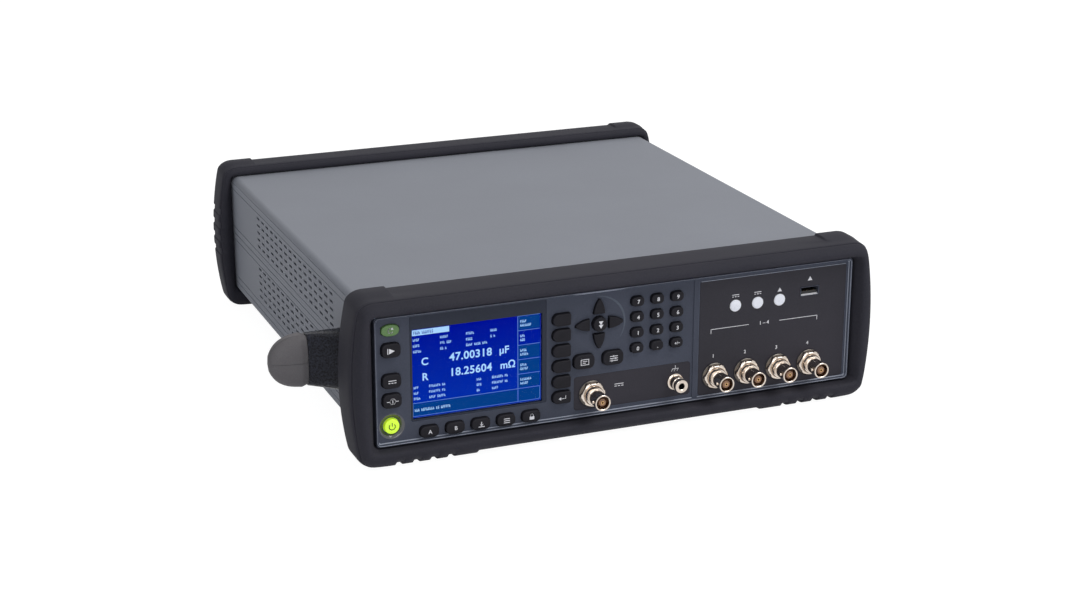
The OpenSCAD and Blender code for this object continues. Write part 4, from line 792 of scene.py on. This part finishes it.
grip = {"y": 51.0, "z": 55.0, "height": 31.0, "depth": 14.0, "root": -159.5, "neckEnd": -183.5, "tip": -207.0,
        "footHeight": 37.0, "footDepth": 30.0, "footY": 45.0, "footZ": 53.5, "swell": 1.0, "partGap": 0.3}


def gripRing(x, height, depth, y=grip["y"], z=grip["z"], power=3.2, gap=None):
    # rounded section across the grip, with a parting groove half way up
    levels = [math.sin(math.radians(-90 + 7.5 * i)) for i in range(1, 24)]
    if gap is not None:
        levels = [v for v in levels if abs(v) > 0.03] + [-0.012, -0.008, 0.008, 0.012]
    rise = [(v, depth / 2 * (1 - abs(v) ** power) ** (1 / power) - (gap if gap and abs(v) < 0.01 else 0))
            for v in sorted(levels)]
    flat = depth / 2 * 0.3
    ring = [(x, y + flat, z - height / 2)] + [(x, y + side, z + height / 2 * v) for v, side in rise]
    ring += [(x, y + flat, z + height / 2), (x, y - flat, z + height / 2)]
    ring += [(x, y - side, z + height / 2 * v) for v, side in reversed(rise)]
    return ring + [(x, y - flat, z - height / 2)]


def mixed(a, b, share):
    return a + (b - a) * share


neck = []
for i in range(13):
    t = i / 12                                    # widens towards the case
    wide = 1 - t
    neck.append(gripRing(mixed(grip["root"], grip["neckEnd"], t),
                         mixed(grip["height"] + 1.2, grip["footHeight"], wide),
                         mixed(grip["depth"] + 1.2, grip["footDepth"], wide),
                         mixed(grip["y"], grip["footY"], wide), mixed(grip["z"], grip["footZ"], wide)))
shape = Shape()
shape.skin([gripRing(grip["root"], 20, 8)] + neck + [gripRing(grip["neckEnd"], 20, 8)])
shape.piece("grip_neck", "grip_dark", "grip_dark", sharp=50, replaces=["grip_core"])
shellStart = grip["neckEnd"] - 0.15
shell = [gripRing(shellStart, grip["height"] - 5, grip["depth"] - 5, gap=grip["partGap"]),
         gripRing(shellStart, grip["height"] - 0.4, grip["depth"] - 0.4, gap=grip["partGap"]),
         gripRing(shellStart - 3.2, grip["height"] + 1.6, grip["depth"] + 1.6, gap=grip["partGap"]),
         gripRing(shellStart - 3.8, grip["height"] + 2.0, grip["depth"] + 2.0, gap=grip["partGap"])]
for i in range(1, 21):
    t = i / 20
    body = math.sqrt(max(0, 1 - (max(0, t - 0.16) / 0.84) ** 2.15))
    swell = 2 * grip["swell"] * max(0, 1 - t / 0.55) ** 1.5
    shell.append(gripRing(mixed(shellStart - 3.8, grip["tip"], t), max((grip["height"] + swell) * body, 0.02),
                          max((grip["depth"] + swell) * (0.25 + 0.75 * body) * min(1, body * 3), 0.02),
                          power=3.2 - 1.0 * t, gap=grip["partGap"] * min(1, body * 2)))
shape = Shape()
shape.skin(shell)
shape.piece("grip_shell_halves", "grip_grey", "grip_grey", sharp=40, replaces=["grip_shells"])
print("grip done")

# the panel's rim, the window and the display

panel = {"rimHalf": 157.0, "rimLow": 13.5, "rimHigh": 93.5, "rimRound": 3.2, "crest": -1.85, "foot": -0.03}


def rimLoop(grow, y):
    w, h = 2 * (panel["rimHalf"] + grow), panel["rimHigh"] - panel["rimLow"] + 2 * grow
    return [(x, y, z) for x, z in roundRect(w, h, max(panel["rimRound"] + grow, 1.4), 7, 0.0,
                                            (panel["rimLow"] + panel["rimHigh"]) / 2)]


crest, foot = panel["crest"], panel["foot"]
shape = Shape()
for mark, section in ((0, ((0.0, -0.9), (0.03, crest + 0.3), (-0.12, crest + 0.07), (-0.35, crest),
                           (-0.5, crest + 0.03), (-0.5, foot))),
                      (1, ((-0.51, crest + 0.03), (-1.95, foot), (-0.51, foot)))):
    rimLoops = [rimLoop(grow, y) for grow, y in section]
    shape.skin(rimLoops + [rimLoops[0]], mark, caps=(False, False))
# the rim's inner slope takes the lighter colour all round: a painted highlight
shape.piece("rim_edge", ["rimDark", "rimLight"], "panel_plastic", sharp=40)

window = {"x": (-134.9, -49.5), "z": (26.3, 91.5), "front": 0.1, "back": 1.6, "round": 1.0,
          "view": (-133.2, -52.6, 28.0, 82.8), "margin": 0.5, "border": (85.3, 65.1, 1.0)}
wx = sum(window["x"]) / 2
wz = sum(window["z"]) / 2
shape = Shape()
paneLoops = []
for inset, y in ((0.0, window["back"]), (0.0, window["front"] + 0.25), (0.25, window["front"])):
    w = window["x"][1] - window["x"][0] - 2 * inset
    h = window["z"][1] - window["z"][0] - 2 * inset
    paneLoops.append([(x, y, z) for x, z in roundRect(w, h, window["round"], 4, wx, wz)])
shape.skin(paneLoops)
shape.piece("window_pane", "window", "window", replaces=["lcd_window"])
x0, x1, z0, z1 = window["view"]
m = window["margin"]
shape = Shape()
borderLoops = []
for inEdge, y in ((False, 0.1), (False, 0.03), (True, 0.03), (True, 0.1), (False, 0.1)):
    ring = roundRect(*window["border"], 4, wx, wz)
    if inEdge:
        ring = roundRect(x1 - x0 + 2 * m, z1 - z0 + 2 * m, 0.3, 4, (x0 + x1) / 2, (z0 + z1) / 2)
    borderLoops.append([(px, y, pz) for px, pz in ring])
shape.skin(borderLoops, caps=(False, False))
shape.piece("window_border", "paneBorder", "window")

screen = {"y": 2.62, "menuShare": 0.826, "statusShare": 0.155}
screenW, screenH = x1 - x0, z1 - z0
menuX = x0 + screenW * screen["menuShare"]
statusZ = z0 + screenH * screen["statusShare"]
y = screen["y"]


def screenLayer(name, polygons, lift, finish):
    flatPiece("screen_" + name, polygons, y - lift, finish, "display", thick=0.02)


screenLayer("field", [barShape(x0 - 0.6, z0 - 0.6, x1 + 0.6, z1 + 0.6)], 0, "screenBlue")
menuTop = z1 - screenH * 0.01
rows = [menuTop - (menuTop - statusZ) * i / 5 for i in range(6)]
tealBoxes = [barShape(menuX + 0.5, rows[i + 1] + 0.7, x1 - 0.2, rows[i] - 0.5) for i in (0, 2, 3, 4)]
tealBoxes += [barShape(x0 + 0.6, z0 + 0.7, menuX - 0.7, statusZ - 0.6),
              barShape(menuX + 0.5, z0 + 0.7, x1 - 0.2, statusZ - 0.6)]
screenLayer("boxes", tealBoxes, 0.03, "screenTeal")
rules = [barShape(menuX - 0.3, z0 + 0.3, menuX + 0.1, menuTop)]
rules += [barShape(menuX, z - 0.15, x1, z + 0.2) for z in rows]
rules += [barShape(x0 + 0.2, statusZ - 0.15, menuX, statusZ + 0.2),
          barShape(x0 + 0.2, z0 + 0.2, x1, z0 + 0.5),
          barShape(x0 + 0.2, z0 + 0.2, x0 + 0.5, statusZ), barShape(x1 - 0.3, z0 + 0.2, x1, statusZ)]
screenLayer("rules", rules, 0.05, "screenRule")

random.seed(5)
glyph = {"pitch": 1.02, "thick": 0.28, "arm": 0.74, "middle": 0.66, "waist": 0.42, "leg": (0.5, 0.78, 0.55)}


def greekRow(left, z, widths, height=1.55):
    # small unreadable characters: a stem each, with two or three more strokes
    polygons = []
    x = left
    thick, arm, waist = glyph["thick"], glyph["arm"], height * glyph["waist"]
    legLeft, legRight, legShare = glyph["leg"]
    for width in widths:
        for _ in range(width):
            kind = random.randint(0, 5)
            polygons.append(barShape(x, z, x + thick, z + height))
            for kinds, bar in (((0, 1, 4), (x + thick, z + height - thick, x + arm, z + height)),
                               ((0, 2, 3, 4), (x + thick, z + waist, x + glyph["middle"], z + waist + thick)),
                               ((1, 3, 5), (x + thick, z, x + arm, z + thick)),
                               ((2, 5, 1), (x + legLeft, z, x + legRight, z + height * legShare))):
                if kind in kinds:
                    polygons.append(barShape(*bar))
            x += glyph["pitch"]
        x += glyph["pitch"]
    return polygons


def upFrom(share):
    return z0 + screenH * share


def rightFrom(share):
    return x0 + screenW * share


screenRows = (
    (0.858, ((0.012, (4,)), (0.22, (5,)), (0.42, (5,)), (0.61, (4,)))),
    (0.792, ((0.012, (4,)), (0.22, (3, 3)), (0.42, (4,)), (0.61, (1, 1)))),
    (0.728, ((0.012, (5,)), (0.22, (2, 1)), (0.42, (4, 4, 3)))),
    (0.318, ((0.012, (3,)), (0.13, (7, 2)), (0.50, (3,)), (0.62, (7, 2)))),
    (0.255, ((0.012, (3,)), (0.13, (7, 2)), (0.50, (3,)), (0.62, (7, 2)))),
    (0.192, ((0.012, (4,)), (0.13, (4, 5)), (0.50, (2,)), (0.62, (4,)))),
)
screenLayer("title_bar", [barShape(rightFrom(0.006), upFrom(0.922), rightFrom(0.29), upFrom(0.985))],
            0.03, "screenPale")
screenLayer("title", greekRow(rightFrom(0.018), upFrom(0.935), (4, 7), 1.9), 0.06, "screenBlue")
small = []
for up, groups in screenRows:
    for right, widths in groups:
        small += greekRow(rightFrom(right), upFrom(up), widths)
small += greekRow(x0 + 1.4, z0 + 3.2, (3, 8, 2, 6), 1.7)
for i in range(5):
    middle = (rows[i] + rows[i + 1]) / 2
    small += greekRow(menuX + 1.5, middle + 0.4, [(4,), (3,), (4,), (4,), (7,)][i])
    small += greekRow(menuX + 1.5, middle - 2.1, [(7,), (3,), (5,), (5,), (5,)][i])
screenLayer("small_rows", small, 0.05, "screenPale")
for name, word, right, up, height, bold, spread in (
        ("value_first", "47.00318", 0.455, 0.625, 4.9, 0.14, 1.06),
        ("value_second", "18.25604", 0.455, 0.45, 4.9, 0.14, 1.06),
        ("unit_c", "C", 0.10, 0.615, 4.6, 0.12, 1.0), ("unit_r", "R", 0.10, 0.44, 4.6, 0.12, 1.0),
        ("unit_farad", "µF", 0.715, 0.625, 4.6, 0.12, 1.0), ("unit_ohm", "mΩ", 0.745, 0.45, 4.6, 0.12, 1.0)):
    wordPiece("screen_" + name, main, word, rightFrom(right), upFrom(up), height, y - 0.06,
              finish="screenPale", bold=bold, spread=spread)
print("display done")

# jacks, ground terminal, lamps and port

jack = {"spots": [63.0 + 22.0 * i for i in range(4)] + [-19.9], "z": 27.7, "reach": 18.0, "flats": 14.6,
        "nut": (-3.95, -0.95), "washer": 8.3}


def hexNut(shape, x, z, flats, front, back, bore, steps=72):
    # hexagon with its corners turned down on the front face
    def reach(a):
        return flats / 2 / math.cos(a % (math.pi / 3) - math.pi / 6)

    whole, loops = 99, []                         # a limit that leaves the hexagon whole
    for limit, y in ((bore, back), (whole, back), (whole, front + 1.1), (flats / 2 * 1.10, front + 0.62),
                     (flats / 2 * 1.04, front + 0.28), (flats / 2 * 0.965, front), (bore + 0.35, front),
                     (bore, front + 0.35), (bore, back)):
        loop = []
        for i in range(steps):
            a = 2 * math.pi * i / steps
            r = limit if limit <= bore + 0.4 else min(reach(a), limit)
            loop.append((x + r * math.cos(a), y, z + r * math.sin(a)))
        loops.append(loop)
    shape.skin(loops, caps=(False, False))


bodies, nuts, washers, cores = Shape(), Shape(), Shape(), Shape()
for x in jack["spots"]:
    z, tip = jack["z"], -jack["reach"]
    profile = [(4.05, 12.0), (4.85, 12.0), (4.85, 9.0), (7.8, 9.0), (7.8, 2.55), (6.0, 2.55), (6.0, -5.7),
               (5.7, -6.2), (4.95, -6.2), (4.85, -6.3), (4.85, -7.1), (4.5, -7.3), (4.5, -8.3), (4.85, -8.5),
               (4.85, tip + 0.9), (5.0, tip + 0.7), (5.0, tip + 0.25), (4.8, tip),
               (4.3, tip), (4.05, tip + 0.3)]
    bodies.turn(profile, x, z, 56, closed=True)
    for side in (-1, 1):                          # bayonet lugs
        bodies.skin([[(x + side * out, across, up) for across, _, up in circle(tip + 4, 0, z, r, 20)]
                     for r, out in ((0.95, 4.3), (0.95, 5.35), (0.75, 5.6), (0.3, 5.68))])
    washers.turn([(6.06, 0.0), (jack["washer"], 0.0), (jack["washer"], -0.65), (jack["washer"] - 0.25, -0.9),
                  (6.06, -0.9)], x, z, 56, closed=True)
    hexNut(nuts, x, z, jack["flats"], jack["nut"][0], jack["nut"][1], 6.05)
    cores.turn([(0, 9), (3.98, 9), (3.98, -7.6), (2.4, -7.8), (2.4, tip + 1.3), (2.1, tip + 1),
                (1.2, tip + 1)], x, z, 36)
    cores.turn([(1.15, tip + 0.9), (1.1, tip + 1.1), (1.1, 11.5), (0, 11.5)], x, z, 20, mark=1)
    cores.turn([(1.15, tip + 0.9), (0.62, tip + 0.9), (0.62, tip + 6), (0, tip + 6)], x, z, 20,
               mark=1)
bodies.piece("jack_barrels", "nickel", "nickel", replaces=["jack_bodies"])
nuts.piece("jack_hex_nuts", "nickel", "nickel", replaces=["jack_nuts"], sharp=25)
washers.piece("jack_washers", "washerSteel", "nickel")
cores.piece("jack_inserts", ["insulator", "gold"], "insulator", replaces=["jack_cores"])

ground = {"x": 35.9, "z": 27.7, "r": 4.4, "reach": 10.5}
shape = Shape()
x, z, r, tip = ground["x"], ground["z"], ground["r"], -ground["reach"]
# the bore's wall and floor take the black finish: painted shade in the hole
shape.turn([(0, -1.5), (2.0, -1.5), (2.0, tip + 0.7)], x, z, 48, mark=1)
profile = [(2.0, tip + 0.7), (2.0, tip + 0.3), (2.3, tip), (3.5, tip),
           (4.1, tip + 0.25), (r, tip + 0.8), (r, tip + 3.0),
           (3.95, tip + 3.3), (3.95, tip + 3.9), (r, tip + 4.2),
           (r, -1.5), (r + 0.8, -1.2), (r + 0.8, 0.0), (3.0, 0.0), (3.0, 7.0), (0, 7.0)]
shape.turn(profile, x, z, 48)
hexNut(shape, x, z, 9.0, 2.55, 5.1, 3.05)
shape.piece("ground_terminal_post", ["nickel", "socketBlack"], "nickel", replaces=["ground_post"])

lamps = {"x": (76.3, 91.6, 106.9), "z": 71.7, "r": 3.8}
shape = Shape()
for x in lamps["x"]:
    r = lamps["r"]
    dome = [(r * math.sin(math.radians(a)), -0.25 - 0.75 * math.cos(math.radians(a)))
            for a in range(0, 91, 10)]
    shape.turn(dome + [(r, 2.5), (r + 0.9, 2.5), (r + 0.9, 3.4), (2.4, 3.4), (2.4, 7.0), (0, 7.0)],
               x, lamps["z"], 40)
shape.piece("lamp_domes", "lens", "lens", replaces=["lamp_lenses"])
shape = Shape()
for x in lamps["x"]:
    shape.turn([(3.82, 0.75), (4.35, 0.75), (4.35, -0.03), (3.95, -0.06), (3.82, 0.1)], x, lamps["z"], 40,
               closed=True)
shape.piece("lamp_rings", "socketBlack", "lens")

port = {"x": 128.0, "z": 74.9, "w": 13.2, "h": 6.2, "front": -0.35, "back": 13.7, "wall": 0.5}
shape = Shape()
px, pz = port["x"], port["z"]
portLoops = []
for inset, y in ((0, port["back"]), (0, port["front"] + 0.2), (0.12, port["front"]),
                 (port["wall"] - 0.1, port["front"]), (port["wall"], port["front"] + 0.15),
                 (port["wall"], port["back"] - 3)):
    portLoops.append([(x, y, z) for x, z in roundRect(port["w"] - 2 * inset, port["h"] - 2 * inset,
                                                      max(0.7 - inset, 0.15), 4, px, pz)])
shape.skin(portLoops, caps=(False, False))
shape.box((px - 6.0, port["back"] - 3.1, pz - 2.5), (px + 6.0, port["back"] - 0.1, pz + 2.5), mark=1)
shape.box((px - 5.6, 1.1, pz - 2.0), (px + 5.6, port["back"] - 2.9, pz - 0.1), mark=1)
slope = ((-0.25, -2.55), (2.4, -1.3), (2.4, -2.55))
shape.skin([[(px + side * 5.9, y, pz + z) for y, z in slope] for side in (-1, 1)], mark=3)
for i in range(4):
    cx = px - 3.5 + i * 7 / 3
    shape.box((cx - 0.45, 1.6, pz - 0.12), (cx + 0.45, 9, pz + 0.02), mark=2)
shape.piece("port_shell", ["rimDark", "socketBlack", "gold", "legend"], "nickel", replaces=["usb_port"])

dish = {"x": -147.0, "z": 25.3, "wall": [(5.62, 1.36), (6.1, 0.97), (6.7, 0.53), (7.3, 0.12), (7.62, -0.04),
                                       (7.95, -0.05), (8.0, 0.01), (7.62, 0.05), (5.66, 1.46)]}
shape = Shape()
shape.turn(dish["wall"], dish["x"], dish["z"], 64, closed=True)
shape.piece("power_dish_ring", "dishGloss", "panel_plastic")

# a lighter crescent laid on the upper right of the cursor keys' dish: a painted highlight
cursorHighlight = {"spot": (-15.3, 71.9), "radius": 17.35, "width": 1.3, "sweep": (-38, 98, 34)}
steps = cursorHighlight["sweep"][2]
crescent = arcPoints(*cursorHighlight["spot"], cursorHighlight["radius"], *cursorHighlight["sweep"])
for i in range(steps - 1, 0, -1):
    radius = cursorHighlight["radius"] - cursorHighlight["width"] * math.sin(math.pi * i / steps) ** 0.7
    crescent.append(arcPoints(*cursorHighlight["spot"], radius, *cursorHighlight["sweep"])[i])
flatPiece("cursor_dish_painted_highlight", [crescent], -0.01, "dishLip", "panel_plastic", thick=0.02)
print("terminals done")

# print on the terminal plates

marks = []
plate = {"bracket": 58.1, "drop": 2.8, "bars": ((60.0, 86.0, 60.0), (107.4, 134.0, 134.0)),
         "ground": (36.2, 36.0), "numbers": 40.4, "edgeHighlight": (52.6, 89.7, 153.0, 90.05)}
for a, b, end in plate["bars"]:                   # bracket over the four jacks
    marks.append(barShape(a, plate["bracket"] - 0.18, b, plate["bracket"] + 0.18))
    marks.append(barShape(end - 0.18, plate["bracket"] - plate["drop"], end + 0.18, plate["bracket"]))
gx, gz = plate["ground"]
marks += [barShape(gx - 0.18, gz - 0.2, gx + 0.18, gz + 2.0),
          barShape(gx - 2.2, gz - 0.3, gx + 2.2, gz + 0.05)]
marks += [[(gx + a - 0.9, gz - 1.7), (gx + a - 0.6, gz - 1.7), (gx + a + 0.15, gz - 0.3),
           (gx + a - 0.15, gz - 0.3)] for a in (-1.9, 0.0, 1.9)]
for x in lamps["x"][:2]:                           # steady voltage marks over two lamps
    marks += steadyMark(x, 78.4, 2.4, 1.1, 1.2)
marks += [[(lamps["x"][2] - 1.5, 77.1), (lamps["x"][2] + 1.5, 77.1), (lamps["x"][2], 79.6)]]
marks += moved([[(-1.6, -1.2), (1.6, -1.2), (0, 1.5)]], port["x"], 83.0)
marks += steadyMark(-1.6, 31.2, 3.0, 1.5, 1.3)
flatPiece("plate_marks", marks, -0.01, "legend", "plate_plastic", thick=0.02)
for i, x in enumerate(jack["spots"][:4]):
    wordPiece("jack_number_%d" % (i + 1), main, str(i + 1), x - 1.0, plate["numbers"], 2.3, -0.02,
              bold=0.05)
wordPiece("bracket_numbers", main, "1 – 4", 96.7, plate["bracket"] - 0.2, 2.4, -0.02,
          bold=0.05)
# a pale strip along the plate's top edge: a painted highlight
flatPiece("plate_edge_highlight", [barShape(*plate["edgeHighlight"])], -0.01, "rimLight", "plate_plastic", thick=0.02)
print("marks done")

# finishes on the parts that stay as packed

bevels = {"case_cover": 0.0004, "front_bezel": 0.00025, "rear_panel": 0.0002, "terminal_plates": 0.0001,
          "chassis": 0.0002, "screws": 0.0002, "mains_inlet": 0.0003, "network_socket": 0.0001,
          "usb_device_socket": 0.0001, "bus_socket": 0.0002, "trigger_jack": 0.00015, "fan_frame": 0.0003}
slots = {row["node"]: row["material_slot"] for row in record["subparts"]}
for name, node in frame["nodes"].items():
    node.data.materials.clear()
    node.data.materials.append(finishes[slots[name]])
    weld = node.modifiers.new("weld", "WELD")
    weld.merge_threshold = 0.000001
    if name in bevels:
        soften = node.modifiers.new("soften", "BEVEL")
        soften.width = bevels[name]
        soften.segments = 2
        soften.limit_method = "ANGLE"
        soften.angle_limit = math.radians(40)
        soften.harden_normals = False
        soften.use_clamp_overlap = True
print("packed parts dressed:", len(frame["nodes"]))

# floor, light and camera

studio = {"floor": (246, 246, 248), "edge": 4.0, "world": 0.33, "key": 24.0, "fill": 9.0, "back": 3.0,
          "whiteShare": 0.8, "white": 1.2}


def backdropRays(tree):
    # 1 for rays straight from the camera, or by way of metal or glass
    rays = addNode(tree, "ShaderNodeLightPath")
    last = (rays, "Is Camera Ray")
    for kind in ("Is Glossy Ray", "Is Transmission Ray"):
        most = addNode(tree, "ShaderNodeMath", operation="MAXIMUM")
        wire(tree, (*last, most, 0), (rays, kind, most, 1))
        last = (most, "Value")
    return last


def facing(spot, aim):
    return (Vector(aim) - Vector(spot)).to_track_quat("-Z", "Y").to_euler()


floorMesh = bpy.data.meshes.new("floor")
edge = studio["edge"]
floorMesh.from_pydata([(-edge, -edge, 0), (edge, -edge, 0), (edge, edge, 0), (-edge, edge, 0)], [],
                      [(0, 1, 2, 3)])
floor = bpy.data.objects.new("floor", floorMesh)
scene.collection.objects.link(floor)
floorPaint = bpy.data.materials.new("floorPaper")
floorPaint.use_nodes = True
tree = floorPaint.node_tree
shader = tree.nodes["Principled BSDF"]
setValues(shader, {"Base Color": tone(*studio["floor"]), "Roughness": 0.9, "Specular IOR Level": 0.1})
white = addNode(tree, "ShaderNodeEmission", {"Strength": studio["white"]})
part = addNode(tree, "ShaderNodeMath", {1: studio["whiteShare"]}, operation="MULTIPLY")
mixing = addNode(tree, "ShaderNodeMixShader")
wire(tree, (*backdropRays(tree), part, 0), (part, "Value", mixing, "Fac"), (shader, "BSDF", mixing, 1),
     (white, "Emission", mixing, 2), (mixing, "Shader", tree.nodes["Material Output"], "Surface"))
floorMesh.materials.append(floorPaint)

world = bpy.data.worlds.new("studio")
scene.world = world
world.use_nodes = True
tree = world.node_tree
dim = tree.nodes["Background"]
setValues(dim, {"Color": (0.93, 0.95, 1.0, 1.0), "Strength": studio["world"]})
bright = addNode(tree, "ShaderNodeBackground", {"Color": (1, 1, 1, 1)})
mixing = addNode(tree, "ShaderNodeMixShader")
wire(tree, (*backdropRays(tree), mixing, "Fac"), (dim, "Background", mixing, 1),
     (bright, "Background", mixing, 2), (mixing, "Shader", tree.nodes["World Output"], "Surface"))


def softLight(name, spot, aim, size, power, colour=(1, 1, 1)):
    light = bpy.data.lights.new(name, "AREA")
    light.shape = "RECTANGLE"
    light.size, light.size_y = size
    light.energy = power
    light.color = colour
    lamp = bpy.data.objects.new(name, light)
    lamp.location = spot
    lamp.rotation_euler = facing(spot, aim)
    scene.collection.objects.link(lamp)


softLight("key", (0.9, -0.8, 1.75), (0, 0, 0.05), (1.6, 1.2), studio["key"], (1.0, 0.99, 0.97))
softLight("fill", (-0.3, -2.1, 0.7), (0, -0.1, 0.05), (1.2, 1.2), studio["fill"], (0.94, 0.97, 1.0))
softLight("back", (0.6, 1.5, 1.3), (0, 0, 0.1), (1.6, 0.8), studio["back"])

view = {"spot": (-0.4722, -1.2361, 0.4819), "aim": (-0.0411, -0.162, 0.0925), "lens": 70.0}
camera = bpy.data.cameras.new("camera")
camera.lens = view["lens"]
camera.sensor_width = 36.0
camera.clip_start = 0.05
camera.clip_end = 50
eye = bpy.data.objects.new("camera", camera)
eye.location = view["spot"]
eye.rotation_euler = facing(view["spot"], view["aim"])
scene.collection.objects.link(eye)
scene.camera = eye
scene.view_settings.view_transform = "Standard"

print("scene ready")
